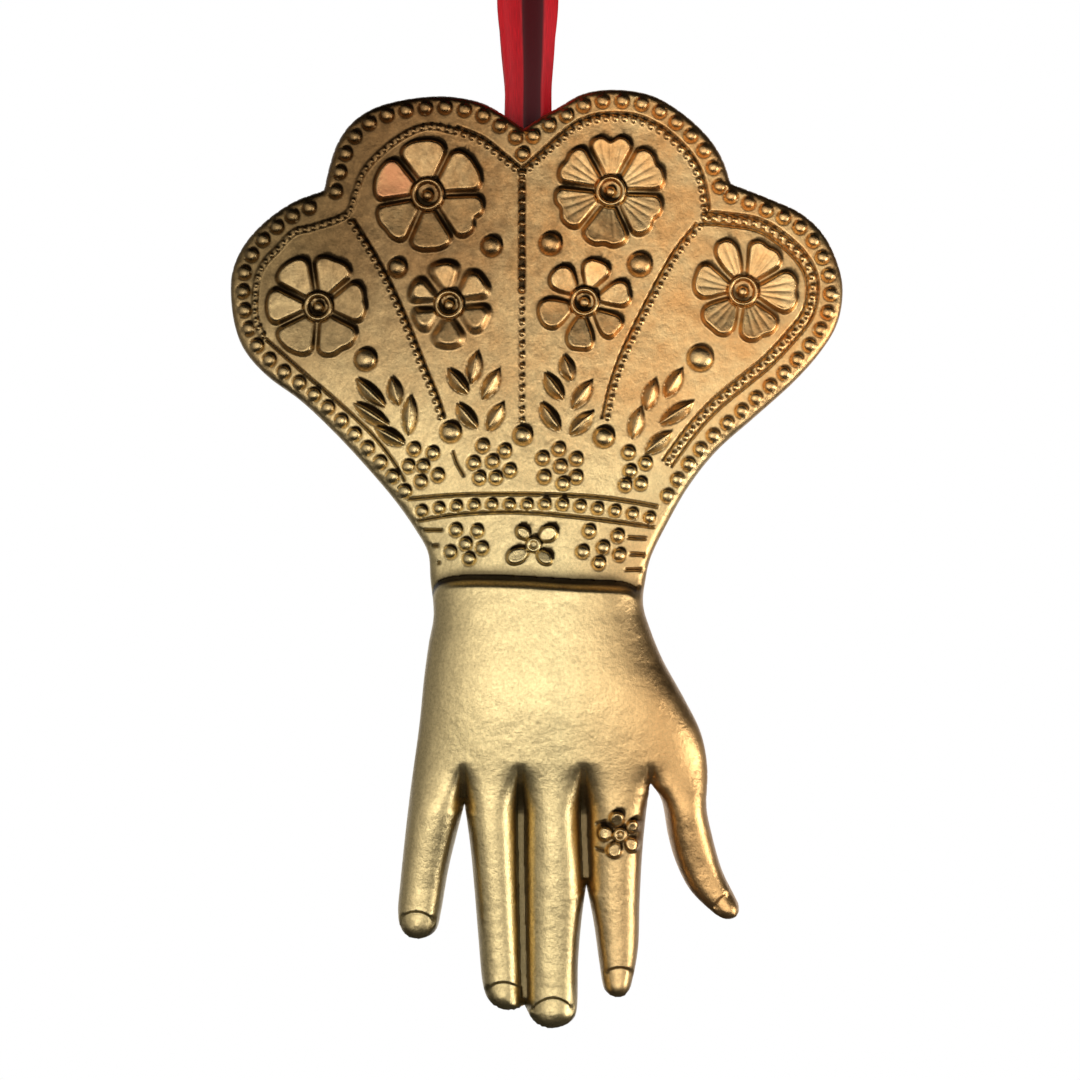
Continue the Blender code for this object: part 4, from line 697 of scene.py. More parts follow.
def distance_to(points, line, closed=False):
    """Each point's distance to a run of straight pieces."""
    starts = np.asarray(line, float)
    stops = np.roll(starts, -1, axis=0) if closed else starts[1:]
    starts = starts if closed else starts[:-1]
    best = np.full(len(points), np.inf)
    for start, stop in zip(starts, stops):
        along = stop - start
        share = np.clip((points - start) @ along / max(along @ along, 1e-12), 0.0, 1.0)
        dx = points[:, 0] - start[0] - share * along[0]
        dz = points[:, 1] - start[1] - share * along[1]
        best = np.minimum(best, dx * dx + dz * dz)
    return np.sqrt(best)


def near_line(points, line, reach):
    """Distance to a line for the points within reach of it, and infinity for the others."""
    line = np.asarray(line, float)
    low, high = line.min(axis=0) - reach, line.max(axis=0) + reach
    near = np.flatnonzero(((points > low) & (points < high)).all(axis=1))
    away = np.full(len(points), np.inf)
    if len(near):
        away[near] = distance_to(points[near], line)
    return away


def inside(points, loop):
    """True for each point that lies inside the closed loop."""
    odd = np.zeros(len(points), bool)
    for (x1, z1), (x2, z2) in zip(loop, np.roll(loop, -1, axis=0)):
        if z1 == z2:
            continue
        crosses = (points[:, 1] < z1) != (points[:, 1] < z2)
        odd ^= crosses & (points[:, 0] < (x2 - x1) * (points[:, 1] - z1) / (z2 - z1) + x1)
    return odd


def rounded(share, power):
    """A wall that rises steeply from 0 and levels off at 1."""
    held = np.clip(share, 0.0, 1.0)
    return (1.0 - (1.0 - held) ** power) ** (1.0 / power)


def side_at(z, side):
    """Where one side of the palm is at each height."""
    line = curve_through(side, 0.5)[::-1]
    return np.interp(z, line[:, 1], line[:, 0])


def outline_loop(step):
    """The whole outline as one closed line, with its corners kept."""
    return np.vstack([curve_through(stretch, step)[:-1] for stretch in OUTLINE])


EDGE_LINE = outline_loop(0.7)
RIM = outline_loop(0.45)
CLOSE_SHARE = 0.93


def cuff_form(points, edge):
    """The flared cuff: a low dome with its edge rolled back."""
    x, z = points.T
    flare = smooth((z - FLARE_START) / FLARE_LENGTH)
    half = WRIST_HALF + (CUFF_HALF - WRIST_HALF) * flare
    swell = WRIST_DOME + (CUFF_DOME - WRIST_DOME) * flare
    across = np.clip(np.abs(x - CUFF_MIDDLE) / half, 0.0, 1.0)
    face = CUFF_RISE + swell * (1.0 - across**2)
    return CUT_EDGE + (face - CUT_EDGE) * rounded(edge / EDGE_ROLL, ROLL_POWER)


def palm_form(points):
    """The palm: a full swell that falls towards the knuckles."""
    x, z = points.T
    left = side_at(z, PALM_LEFT)
    right = side_at(z, PALM_RIGHT)
    across = np.clip(np.abs(2 * x - left - right) / (right - left), 0.0, 1.0)
    fall = smooth((PALM_FALL - z) / (PALM_FALL - KNUCKLE_END))
    crest = PALM_RISE + (KNUCKLE_RISE - PALM_RISE) * fall
    return CUT_EDGE + (crest - CUT_EDGE) * (1.0 - across**PALM_POWER) ** (1 / PALM_POWER)


def fingers_form(points, edge):
    """The fingers and thumb: a round ridge along each middle line, with grooves between."""
    groove = np.min([distance_to(points, line) for line in GROOVES], axis=0)
    free = np.minimum(edge, np.maximum(groove - FINGER_LAND_HALF, 0.0))
    digits = FINGERS + [THUMB]
    middles = np.array([distance_to(points, curve_through(line, 0.6)) for line in digits])
    nearest = middles.min(axis=0)
    share = nearest / np.maximum(nearest + free, 1e-9)
    tip = np.array([line[-1][1] for line in digits])[middles.argmin(axis=0)]
    ends = np.where(middles.argmin(axis=0) == len(FINGERS), THUMB_TIP_RISE, FINGERTIP_RISE)
    along = smooth((KNUCKLE_TOP - points[:, 1]) / (KNUCKLE_TOP - tip))
    crest = KNUCKLE_RISE + (ends - KNUCKLE_RISE) * along
    floor = CUT_EDGE + (FINGER_LAND - CUT_EDGE) * np.clip(edge, 0.0, 1.0)
    swell = (1.0 - np.clip(share, 0.0, 1.0) ** SWELL_POWER) ** (1 / SWELL_POWER)
    return floor + (crest - floor) * swell


def below_step(points):
    """How far each point is below the step, straight down."""
    step = curve_through(STEP_LINE, 0.5)
    return np.interp(points[..., 0], step[:, 0], step[:, 1]) - points[..., 1]


def pressed_form(points, edge):
    """The cuff, and below the step the hand."""
    low = points[:, 1] < STEP_TOP + STEP_ROUND
    height = cuff_form(points, edge)
    hand, hand_edge = points[low], edge[low]
    blend = smooth((KNUCKLE_TOP - hand[:, 1]) / (KNUCKLE_TOP - KNUCKLE_END))
    swell = palm_form(hand) * (1.0 - blend) + fingers_form(hand, hand_edge) * blend
    below = below_step(hand)
    wall = rounded(below / STEP_ROUND, STEP_POWER)
    height[low] += np.where(below > 0, (swell - height[low]) * wall, 0.0)
    return height


def near_spot(points, x, z, reach):
    """Numbers of the points in the square that reaches this far round a place."""
    return np.flatnonzero((np.abs(points[:, 0] - x) < reach) & (np.abs(points[:, 1] - z) < reach))


def raise_dome(raised, points, x, z, radius, rise):
    """Raises a domed bead, with a shallow moat pressed round its foot."""
    reach = radius + MOAT_WIDE
    near = near_spot(points, x, z, reach)
    away = np.hypot(points[near, 0] - x, points[near, 1] - z)
    bead = rise * np.sqrt(np.clip(1.0 - (away / radius)**2, 0.0, None))
    ditch = -MOAT_DEPTH * np.clip(1.0 - np.abs(away - radius) / MOAT_WIDE, 0.0, None)
    now = np.where(away < radius, np.maximum(raised[near], bead), raised[near])
    raised[near] = np.where((away >= radius) & (now <= 0), np.minimum(now, ditch), now)


def blunt_least(first, second, reach):
    """The lesser of two distances, with the corner between them rounded off."""
    near = np.clip(reach - np.abs(first - second), 0.0, None)
    return np.minimum(first, second) - near**2 / (4.0 * reach)


def raise_petals(raised, points, flower, number):
    """Raises a flower's petals: each rises outwards to a steep wall and meets its neighbours."""
    (x, z), ring, gap, wall, petals = flower
    reach = max(petal[1] for petal in petals) + wall
    near = np.flatnonzero(np.hypot(points[:, 0] - x, points[:, 1] - z) < reach)
    spots = points[near] - (x, z)
    away = np.hypot(*spots.T)
    ways = sorted(petals)
    root = ring + 0.5 * FLOWER_RING_HALF
    for k, (angle, long_reach, half, dent) in enumerate(ways):
        out = math.radians(angle)
        forth = spots[:, 0] * math.cos(out) + spots[:, 1] * math.sin(out)
        aside = spots[:, 1] * math.cos(out) - spots[:, 0] * math.sin(out)
        turn = np.arctan2(aside, forth)
        shares = [math.radians((ways[(k + 1) % len(ways)][0] - angle) % 360 / 2),
                  math.radians((angle - ways[k - 1][0]) % 360 / 2)]
        side = np.where(turn > 0, *shares)
        to_side = away * np.sin(np.clip(side - np.abs(turn), -1.5, 1.5)) - gap / 2
        bow = PETAL_BOW * long_reach * (aside / half)**2
        to_end = long_reach - bow - dent * np.exp(-(aside / DENT_HALF)**2) - away
        depth = blunt_least(to_side, half - np.abs(aside), PETAL_SIDE_CORNER)
        depth = blunt_least(depth, to_end, PETAL_CORNER)
        share = np.clip((away - root) / (long_reach - root), 0.0, 1.0)
        shape = PETAL_RISE * (PETAL_ROOT + (1.0 - PETAL_ROOT) * share) * smooth(depth / wall)
        shape *= smooth((away - root) / PETAL_ROOT_RUN)
        if number in VEINED:
            vein = (0.5 + 0.5 * np.cos(2 * math.pi * np.degrees(turn) / VEIN_TURN))**3
            shape -= VEIN_DEPTH * vein * smooth(depth / wall - 0.6) * smooth(2.2 - 2.2 * share)
        raised[near] = np.where(shape > 0, np.maximum(raised[near], shape), raised[near])


def raise_leaf(raised, points, leaf):
    """Raises a leaf with a sharp middle ridge."""
    tip, stem = np.array(leaf[:2]), np.array(leaf[2:])
    axis = stem - tip
    size = np.linalg.norm(axis)
    axis = axis / size
    from_middle = points - (tip + stem) / 2
    near = np.flatnonzero(np.hypot(*from_middle.T) < size / 2 + 0.6)
    along = from_middle[near] @ axis / (size / 2)
    aside = from_middle[near] @ np.array([-axis[1], axis[0]])
    half = LEAF_HALF * np.clip(1.0 - along**2, 0.0, None)
    share = np.clip(np.abs(aside) / np.maximum(half, 1e-6), 0.0, 1.0)
    ends = np.clip(1.0 - along**4, 0.0, None)
    ditch = -MOAT_DEPTH * np.clip(1.0 - np.abs(np.abs(aside) - half) / MOAT_WIDE, 0.0, None) * ends
    shape = LEAF_RISE * (1.0 - share**LEAF_POWER) * ends
    raised[near] = np.where((shape <= 0) & (raised[near] <= 0), np.minimum(raised[near], ditch),
                            np.maximum(raised[near], shape))


def sink_nails(raised, points):
    """Lowers each nail's plate, which is deepest at its root and comes up level at the tip."""
    for (x, z, half), finger in zip(NAILS, FINGERS + [THUMB]):
        axis = np.array(finger[-1]) - finger[-2]
        axis /= np.linalg.norm(axis)
        near = np.flatnonzero(np.hypot(points[:, 0] - x, points[:, 1] - z) < NAIL_LENGTH + 1.0)
        spots = points[near] - (x, z)
        aside = spots @ np.array([-axis[1], axis[0]])
        forth = spots @ axis - NAIL_CURVE * aside**2
        sunk = NAIL_DROP * smooth(forth / 0.3) * np.clip(1.0 - forth / NAIL_LENGTH, 0.0, 1.0)
        raised[near] -= sunk * smooth((half + 0.3 - np.abs(aside)) / 0.3)


def border_beads():
    """Bead places along the cuff's border, an even pitch apart."""
    places = []
    for stretch in OUTLINE:
        line = curve_through(stretch, 0.25)
        line = line[line[:, 1] > CUFF_END]
        if len(line) < 10:
            continue
        jumps = np.flatnonzero(np.linalg.norm(np.diff(line, axis=0), axis=1) > 1.0)
        for run in np.split(line, jumps + 1):
            inner = run - BORDER_INSET * leftward(run)
            inner = np.where(inside(inner, EDGE_LINE)[:, None], inner, 2 * run - inner)
            inner = inner[distance_to(inner, EDGE_LINE, True) > CLOSE_SHARE * BORDER_INSET]
            places.append(curve_through(inner[::4], BORDER_PITCH))
    kept = []
    for place in np.vstack(places):
        if all(np.hypot(*(place - other)) > 0.75 * BORDER_PITCH for other in kept):
            kept.append(place)
    return kept


BEADS = [(x, z, BORDER_BEAD / 2) for x, z in border_beads()]
BEADS.append((0.0, -3.8, BORDER_BEAD / 2))
BEADS += [(x, z, BAND_BEAD / 2) for x, z in curve_through(BAND_ROW, BAND_PITCH)]
BEADS += [(x, z, CLUSTER_BEAD / 2) for x, z in CLUSTERS]


def pattern(points):
    """Height of the whole raised pattern above the sheet round it."""
    raised = np.zeros(len(points))
    for line in SCRIBED:
        away = near_line(points, curve_through(line, 0.5), LINE_HALF)
        raised -= LINE_DEPTH * np.clip(1.0 - away / LINE_HALF, 0.0, None)
    for rope, sides, bead, pitch, bed in ROPES:
        line = curve_through(rope, 0.4)
        for side in sides:
            beside = line + side * (bead / 2 + LINE_HALF) * leftward(line)
            away = near_line(points, beside, LINE_HALF)
            near = away < LINE_HALF
            raised[near] = -LINE_DEPTH * (1.0 - away[near] / LINE_HALF)
        away = near_line(points, line, ROPE_BED)
        bedded = away < ROPE_BED
        if bed:
            raised[bedded] = bed * smooth(1.6 - 1.6 * away[bedded] / ROPE_BED)
        for x, z in curve_through(rope, pitch):
            near = near_spot(points, x, z, bead)
            off = 2 * np.hypot(points[near, 0] - x, points[near, 1] - z) / bead
            dome = bed + (ROPE_RISE - 0.5 * bed) * np.sqrt(np.clip(1.0 - off**2, 0.0, None))
            raised[near] = np.where(off < 1.0, np.maximum(raised[near], dome), raised[near])
    for number, flower in enumerate(FLOWERS):
        raise_petals(raised, points, flower, number)
        (x, z), ring = flower[:2]
        away = np.hypot(points[:, 0] - x, points[:, 1] - z)
        off = (away - ring) / FLOWER_RING_HALF
        band = FLOWER_RING_RISE * np.sqrt(np.clip(1.0 - off**2, 0.0, None))
        raised = np.where(band > 0, np.maximum(raised, band), raised)
        raise_dome(raised, points, x, z, min(FLOWER_BUTTON, ring), BEAD_RISE)
    for leaf in LEAVES:
        raise_leaf(raised, points, leaf)
    for x, z, radius in BALLS:
        raise_dome(raised, points, x, z, radius, BALL_RISE)
    for x, z, radius in BEADS:
        raise_dome(raised, points, x, z, radius, BEAD_RISE)
    sink_nails(raised, points)
    return raised


# Heights are taken on an even triangular grid, and its points are used thickly only where the
# surface bends. The back of the sheet is the front moved in by the sheet's thickness.
GRID_MARGIN = 1.5
low, high = RIM.min(axis=0) - GRID_MARGIN, RIM.max(axis=0) + GRID_MARGIN
row_step = FINE_STEP * math.sqrt(3) / 2
rows = int((high[1] - low[1]) / row_step) // 8 * 8 + 1
lean = rows // 2 + 4
columns = (int((high[0] - low[0]) / FINE_STEP) + lean) // 8 * 8 + 1
row, column = np.mgrid[0:rows, 0:columns]
grid = np.stack([low[0] + FINE_STEP * (column - lean + 0.5 * row), low[1] + row_step * row],
                axis=-1)
within = np.zeros((rows, columns), bool)
loop_next = np.roll(EDGE_LINE, -1, axis=0)
for number in range(rows):
    z = grid[number, 0, 1]
    crossed = (EDGE_LINE[:, 1] < z) != (loop_next[:, 1] < z)
    share = (z - EDGE_LINE[crossed, 1]) / (loop_next[crossed, 1] - EDGE_LINE[crossed, 1])
    at = np.sort(EDGE_LINE[crossed, 0] + share * (loop_next[crossed, 0] - EDGE_LINE[crossed, 0]))
    within[number] = np.searchsorted(at, grid[number, :, 0]) % 2 == 1
spots = grid[within]
edge = distance_to(spots, EDGE_LINE, True)
grid_edge = np.zeros((rows, columns))
grid_edge[within] = edge
grid_pattern = np.zeros((rows, columns))
grid_pattern[within] = pattern(spots)
grid_height = grid_pattern.copy()
grid_height[within] += pressed_form(spots, edge)


def moved(values, down, across):
    """The grid's values as seen from this many rows and columns away."""
    return np.roll(values, (-down, -across), axis=(0, 1))


# The three ways to a neighbour on the grid, its coarsest step, and the rows laid along the rim.
GRID_WAYS = ((0, 1), (1, 0), (1, -1))
COARSEST = 4
FRONT_ROWS = (0.1, 0.24, 0.42, 0.64, 0.9)
FRONT_ROW_STEP = 0.34
FRONT_ROWS_END = 1.05
BACK_ROWS = (0.35, 0.5, 0.7, 0.95)
BACK_ROW_STEP = 0.6
BACK_ROWS_END = 1.2


def bend_of(values, step):
    """How far each height is from the middle of its neighbours, at its worst."""
    worst = np.zeros_like(values)
    for down, across in GRID_WAYS:
        down, across = step * down, step * across
        pair = moved(values, down, across) + moved(values, -down, -across)
        worst = np.maximum(worst, np.abs(values - pair / 2))
    return worst


def grown(mask, step):
    """The mask with its neighbours a step away."""
    made = mask.copy()
    for down, across in GRID_WAYS:
        made |= moved(mask, step * down, step * across) | moved(mask, -step * down, -step * across)
    return made


def thinned(values, finest, tolerance, margin):
    """The grid points that carry these heights: every fourth one, and more where they bend."""
    wanted, kept = np.zeros(values.shape, bool), np.zeros(values.shape, bool)
    step = finest
    while step < 2 * COARSEST:
        wanted = grown(wanted | (bend_of(values, step) > tolerance), step)
        kept |= wanted & (row % step == 0) & (column % step == 0)
        step *= 2
    kept |= (row % COARSEST == 0) & (column % COARSEST == 0)
    return kept & within & (grid_edge > margin)


def rim_rows(insets, step):
    """Points in rows along the edge, a little way in."""
    line = outline_loop(step)
    along = np.roll(line, -1, axis=0) - np.roll(line, 1, axis=0)
    along /= np.linalg.norm(along, axis=1)[:, None]
    made = []
    for inset in insets:
        row_points = line + inset * np.column_stack([-along[:, 1], along[:, 0]])
        far = distance_to(row_points, EDGE_LINE, True) > CLOSE_SHARE * inset
        made.append(row_points[far & inside(row_points, EDGE_LINE)])
    return np.vstack(made)


def skin_of(flat_points):
    """Triangles over the outline and these points."""
    every = np.vstack([RIM, flat_points])
    edges = [(i, (i + 1) % len(RIM)) for i in range(len(RIM))]
    flat, _, triangles, came_from, _, _ = delaunay_2d_cdt(
        [Vector(p) for p in every], edges, [], 1, 1e-5)
    source = np.array([names[0] for names in came_from])
    return np.array([tuple(v) for v in flat]), np.array(triangles), source


front_rows = rim_rows(FRONT_ROWS, FRONT_ROW_STEP)
front_kept = thinned(grid_height, 1, FRONT_KEEP, FRONT_ROWS_END)
front_flat = np.vstack([front_rows, grid[front_kept]])
rows_edge = distance_to(front_rows, EDGE_LINE, True)
front_rise = np.concatenate([
    np.full(len(RIM), CUT_EDGE), pressed_form(front_rows, rows_edge) + pattern(front_rows),
    grid_height[front_kept]])


def evened(values, reach):
    """Each value as the mean of those round it on the sheet."""
    count = int(reach / FINE_STEP)
    steps = range(-count, count + 1)
    share = within.astype(float)
    values = np.where(within, values, 0.0)
    for down, across in GRID_WAYS:
        values, share = (sum(moved(field, k * down, k * across) for k in steps) / len(steps)
                         for field in (values, share))
    return values / np.maximum(share, 0.05)


# Oxide lies in the hollows and the scribed lines, and is painted darker as shade where a hollow's
# wall turns up and right. A painted shadow lies on the upper right side of every raised part, and
# painted shade along the wall under the step. A thinner film, partly oxide and partly painted
# shade, lies in the wider hollows.
proud = np.where(within, grid_pattern - evened(grid_pattern, RECESS_REACH), 0.0)
sunk = np.where(within, evened(grid_height, RECESS_REACH) - grid_height, 0.0)
rise_x = (moved(grid_pattern, 0, 1) - moved(grid_pattern, 0, -1)) / (2 * FINE_STEP)
rise_z = (moved(grid_pattern, 1, 0) + moved(grid_pattern, 1, -1) - moved(grid_pattern, -1, 0)
          - moved(grid_pattern, -1, 1)) / (4 * row_step)
steep = np.hypot(rise_x, rise_z)
turned = -(LEE_WAY[0] * rise_x + LEE_WAY[1] * rise_z) / np.maximum(steep, FLAT_SLOPE)
wide_sunk = np.where(within, evened(grid_height, VALLEY_REACH) - grid_height, 0.0)
# How much higher the sheet is a little way down and to the left; a painted shadow lies where it is
# higher.
shadow_rise = moved(grid_pattern, -LEE_ROWS, 0) - grid_pattern
far_shadow_rise = moved(grid_pattern, -FAR_LEE_ROWS, 0) - grid_pattern
lifted = smooth((grid_pattern - LIFTED_FROM) / LIFTED_RUN)
# Painted shade: the hollows' walls that turn up and right are painted darker.
facing_shade = FACING_SHADE_LEAST + FACING_SHADE_MORE * smooth(0.5 + 0.7 * turned)
oxide_and_shade = smooth((sunk - FILM_FROM) / FILM_RUN) * facing_shade

# Each kind of hollow: its depth, the depth at which the darkening starts, how much more holds all
# of it, and how dark it gets. The first two are painted shadow beside raised parts, the third is
# oxide in the scribed lines, and the last is oxide and painted shade in the wider hollows.
for depth, least, more, most in (
        (shadow_rise, 0.1, 0.28, LEE_SHADE), (far_shadow_rise, 0.45, 0.3, LEE_SHADE),
        (-grid_pattern - MOAT_DEPTH, 0.02, 0.08, grid[..., 1] > NAILS_FROM),
        (wide_sunk, 0.3, 0.9, 0.75)):
    oxide_and_shade = np.maximum(oxide_and_shade, most * smooth((depth - least) / more))
oxide_and_shade *= EDGE_KEEPS + (1.0 - EDGE_KEEPS) * smooth((grid_edge - EDGE_FROM) / EDGE_RUN)
# Painted shade along the wall under the step.
below = below_step(grid)
painted_step_shade = smooth((below + 0.3) / 0.25) * smooth((STEP_SHADE - below) / 0.5)
painted_step_shade *= (grid[..., 0] > STEP_LINE[0][0]) & (grid[..., 0] < STEP_LINE[-1][0])
oxide_and_shade = np.maximum(oxide_and_shade, LEE_SHADE * painted_step_shade)

# One petal of the upper left flower is rubbed through to a coppery colour.
from_flower = grid - FLOWERS[0][0]
away = np.hypot(from_flower[..., 0], from_flower[..., 1])
turn = np.degrees(np.arctan2(from_flower[..., 1], from_flower[..., 0])) - RUBBED_PETAL
turn = np.abs((turn + 180.0) % 360.0 - 180.0)
coppery = (smooth((RUBBED_HALF_TURN - turn) / 6.0) * smooth((away - RUBBED_FROM) / 0.4)
           * smooth((RUBBED_TO - away) / 0.5))


def from_grid(values, points):
    """Values of the grid at any points, taken straight between its own points."""
    down = (points[:, 1] - low[1]) / row_step
    across = (points[:, 0] - low[0]) / FINE_STEP + lean - 0.5 * down
    i, j = np.floor(down).astype(int), np.floor(across).astype(int)
    u, v = down - i, across - j
    return ((1 - u) * (1 - v) * values[i, j] + u * (1 - v) * values[i + 1, j]
            + (1 - u) * v * values[i, j + 1] + u * v * values[i + 1, j + 1])


back_grid = np.full((rows, columns), np.inf)
reach = int(SHEET / FINE_STEP) + 1
for down in range(-reach, reach + 1):
    for across in range(-reach, reach + 1):
        away = math.hypot((across + 0.5 * down) * FINE_STEP, down * row_step)
        if away <= SHEET:
            under = moved(grid_height, down, across) - math.sqrt(SHEET**2 - away**2)
            back_grid = np.minimum(back_grid, np.where(moved(within, down, across), under, 0.0))
back_grid = np.maximum(back_grid, 0.0)
back_rows = rim_rows(BACK_ROWS, BACK_ROW_STEP)
back_kept = thinned(back_grid, 2, BACK_KEEP, BACK_ROWS_END)
back_flat = np.vstack([back_rows, grid[back_kept]])
back_rise = np.concatenate([np.zeros(len(RIM)), from_grid(back_grid, back_rows),
                            back_grid[back_kept]])

# Each field that the brass reads, and the share of it that the back of the sheet has.
FIELDS = {"proud": (proud, -1.0), "oxide_and_shade": (oxide_and_shade, 0.35), "coppery": (coppery, 0.0),
          "lifted": (lifted, 0.0)}
vertices, faces, loops = [], [], []
painted = {name: [] for name in FIELDS}
for flat_points, rise, is_front in ((front_flat, front_rise, True), (back_flat, back_rise, False)):
    flat, triangles, source = skin_of(flat_points)
    height = rise[source]
    start = len(vertices)
    x, z = flat.T
    vertices += np.column_stack([x + NOTCH_X, BACK_PLANE_Y - height, z + NOTCH_Z]).tolist()
    first, second, third = (flat[triangles[:, corner]] for corner in range(3))
    side_a, side_b = second - first, third - first
    turns = side_a[:, 0] * side_b[:, 1] - side_a[:, 1] * side_b[:, 0] > 0
    order = np.where((turns == is_front)[:, None], triangles, triangles[:, ::-1])
    faces += (order + start).tolist()
    where = np.empty(len(RIM), int)
    names = np.flatnonzero(source < len(RIM))
    where[source[names]] = names
    loops.append(where + start)
    for field_name, (values, back_share) in FIELDS.items():
        painted[field_name].append(from_grid(values, flat) * (1.0 if is_front else back_share))
for i in range(len(RIM)):
    j = (i + 1) % len(RIM)
    faces.append((loops[0][i], loops[1][i], loops[1][j], loops[0][j]))


# Where the brass's tones come in and its dirt thins out, in metres along X, along Z or on a slope
# between the two: nothing of the change at the first place and all of it at the second.
CUFF_FROM = (-0.098, -0.072)
ARM_FROM = (-0.092, -0.072)
WRIST_FROM = (-0.108, -0.085)
FINGERS_BELOW = (-0.1, -0.108)
LOW_LEFT_TO_RIGHT = (-0.068, -0.042)
RIGHT_FINGERS = (0.004, 0.016)
LEFT_OF_MIDDLE = (0.008, -0.012)
FAR_LEFT = (-0.014, -0.03)
LESS_TO_RIGHT = (0.004, 0.022)
HOLLOWS_LESS_TO_RIGHT = (0.006, 0.024)
BARE_COPPER = (0.58, 0.25, 0.11)


def brass(name, base, dark, copper, brown, olive, rough, grain):
    """Aged brass: its colour drifts, dark oxide and painted shade lie in the hollows and beside
    raised parts, and raised parts are rubbed.
    """
    made, tree, shader = start_material(name, {"Metallic": 1.0})
    place = add_node(tree, "TexCoord").outputs["Object"]
    x, _, z = add_node(tree, "SeparateXYZ", {"Vector": place}).outputs
    relief, oxide_shade_field, tops, coppered = (
        add_node(tree, "Attribute", attribute_name=field).outputs["Fac"]
        for field in ("proud", "oxide_and_shade", "lifted", "coppery"))
    drift = noise_over(place, 60.0, 3.0)
    patches = noise_over(place, 230.0, 5.0, 0.65)
    mottle = noise_over(place, 760.0, 4.0, 0.6)
    speckle = noise_over(place, 2900.0, 4.0, 0.7)
    on_cuff = ranged(z, *CUFF_FROM)
    on_arm = ranged(z, *ARM_FROM)
    unrubbed = ranged(tops, 0.0, 1.0, 1.0, 0.62)

    # Copper on the cuff and the right of the fingers, brown on the left, olive at the far left.
    slope = maths("ADD", product(x, 0.8), product(z, 0.6))
    copper_share = product(ranged(patches, 0.35, 0.62, 0.5, 1.0), ranged(z, *WRIST_FROM),
                           ranged(slope, *LOW_LEFT_TO_RIGHT, 0.35, 1.0))
    warm_fingers = product(ranged(x, *RIGHT_FINGERS, 0.0, 0.75), ranged(z, *FINGERS_BELOW))
    brown_share = product(ranged(x, *LEFT_OF_MIDDLE, 0.0, 0.9), on_arm,
                          ranged(drift, 0.35, 0.65, 0.7, 1.0), unrubbed)
    olive_share = product(ranged(x, *FAR_LEFT, 0.0, 0.75), on_arm,
                          ranged(patches, 0.35, 0.65, 0.75, 1.0), unrubbed)
    colour = mixed(maths("ADD", copper_share, warm_fingers), base, copper)
    colour = mixed(brown_share, colour, brown)
    colour = mixed(olive_share, colour, olive)

    # Dirt, oxide and painted shade, all weaker towards the right.
    dulled = product(ranged(mottle, 0.4, 0.68, 0.0, 0.42), on_cuff, ranged(x, *LESS_TO_RIGHT, 1.0, 0.3))
    grimed = product(ranged(speckle, 0.34, 0.7, 0.0, 0.38), ranged(x, *LESS_TO_RIGHT, 1.0, 0.5))
    bared = product(coppered, ranged(mottle, 0.25, 0.6, 0.6, 0.95))
    # The oxide field holds painted shadow and shade as well as oxide.
    oxide_shade_share = product(oxide_shade_field, ranged(patches, 0.3, 0.7, 1.0, 0.8),
                     ranged(x, *HOLLOWS_LESS_TO_RIGHT, 1.0, 0.72))
    for share, layer in ((dulled, dark), (grimed, dark), (bared, BARE_COPPER), (oxide_shade_share, dark)):
        colour = mixed(share, colour, layer)
    worn = maths("SUBTRACT", ranged(patches, 0.3, 0.7, rough - 0.04, rough + 0.06),
                 ranged(relief, 0.0, 0.35, 0.0, 0.08))
    worn = maths("ADD", worn, product(oxide_shade_share, 0.2))
    set_inputs(shader, {"Base Color": colour, "Roughness": worn})
    uneven = maths("MULTIPLY_ADD", noise_over(place, 420.0, 2.0), 3.0, speckle)
    add_bump(shader, uneven, grain, 0.05)
    return made


# The dark colour is used for dirt, oxide and painted shade alike.
sheet_brass = brass("pressed_brass", (0.88, 0.69, 0.34), (0.03, 0.018, 0.008), (0.88, 0.47, 0.17),
                    (0.24, 0.115, 0.04), (0.26, 0.18, 0.075), 0.32, 0.9)
sheet = add_mesh("brass_hand", vertices, faces, sheet_brass, "hand", 65)
for field_name, values in painted.items():
    field = sheet.data.attributes.new(field_name, "FLOAT", "POINT")
    field.data.foreach_set("value", np.concatenate(values).astype(np.float32))
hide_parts("pressed_hand")


# The jump ring is round brass wire bent into a circle until its two cut ends meet on the right. It
# hangs in the ribbon's loop and carries the hand's eye.
RING_SEAM = 0.2
END_ROUND = 0.07


def drawn_wire(name, bright, dull):
    """Drawn brass wire: fine lines, a colour that drifts, and handling marks."""
    made, tree, shader = start_material(name, {"Metallic": 1.0})
    place = add_node(tree, "TexCoord").outputs["Object"]
    tone = noise_over(place, 700.0, 5.0, 0.65)
    set_inputs(shader, {"Base Color": two_tone(tone, (0.36, dull), (0.6, bright)),
                        "Roughness": ranged(tone, 0.3, 0.7, 0.42, 0.2)})
    add_bump(shader, noise_over(place, 5200.0, 2.0), 0.35, 0.015)
    return made


def start_wire(name, radius, place, turn):
    """An open circle of the wire's section, ready in edit mode."""
    bpy.ops.mesh.primitive_circle_add(vertices=24, radius=radius * MM, rotation=turn,
                                      location=[c * MM for c in place])
    bpy.context.object.name = name
    bpy.ops.object.mode_set(mode="EDIT")
    bpy.ops.mesh.select_all(action="SELECT")


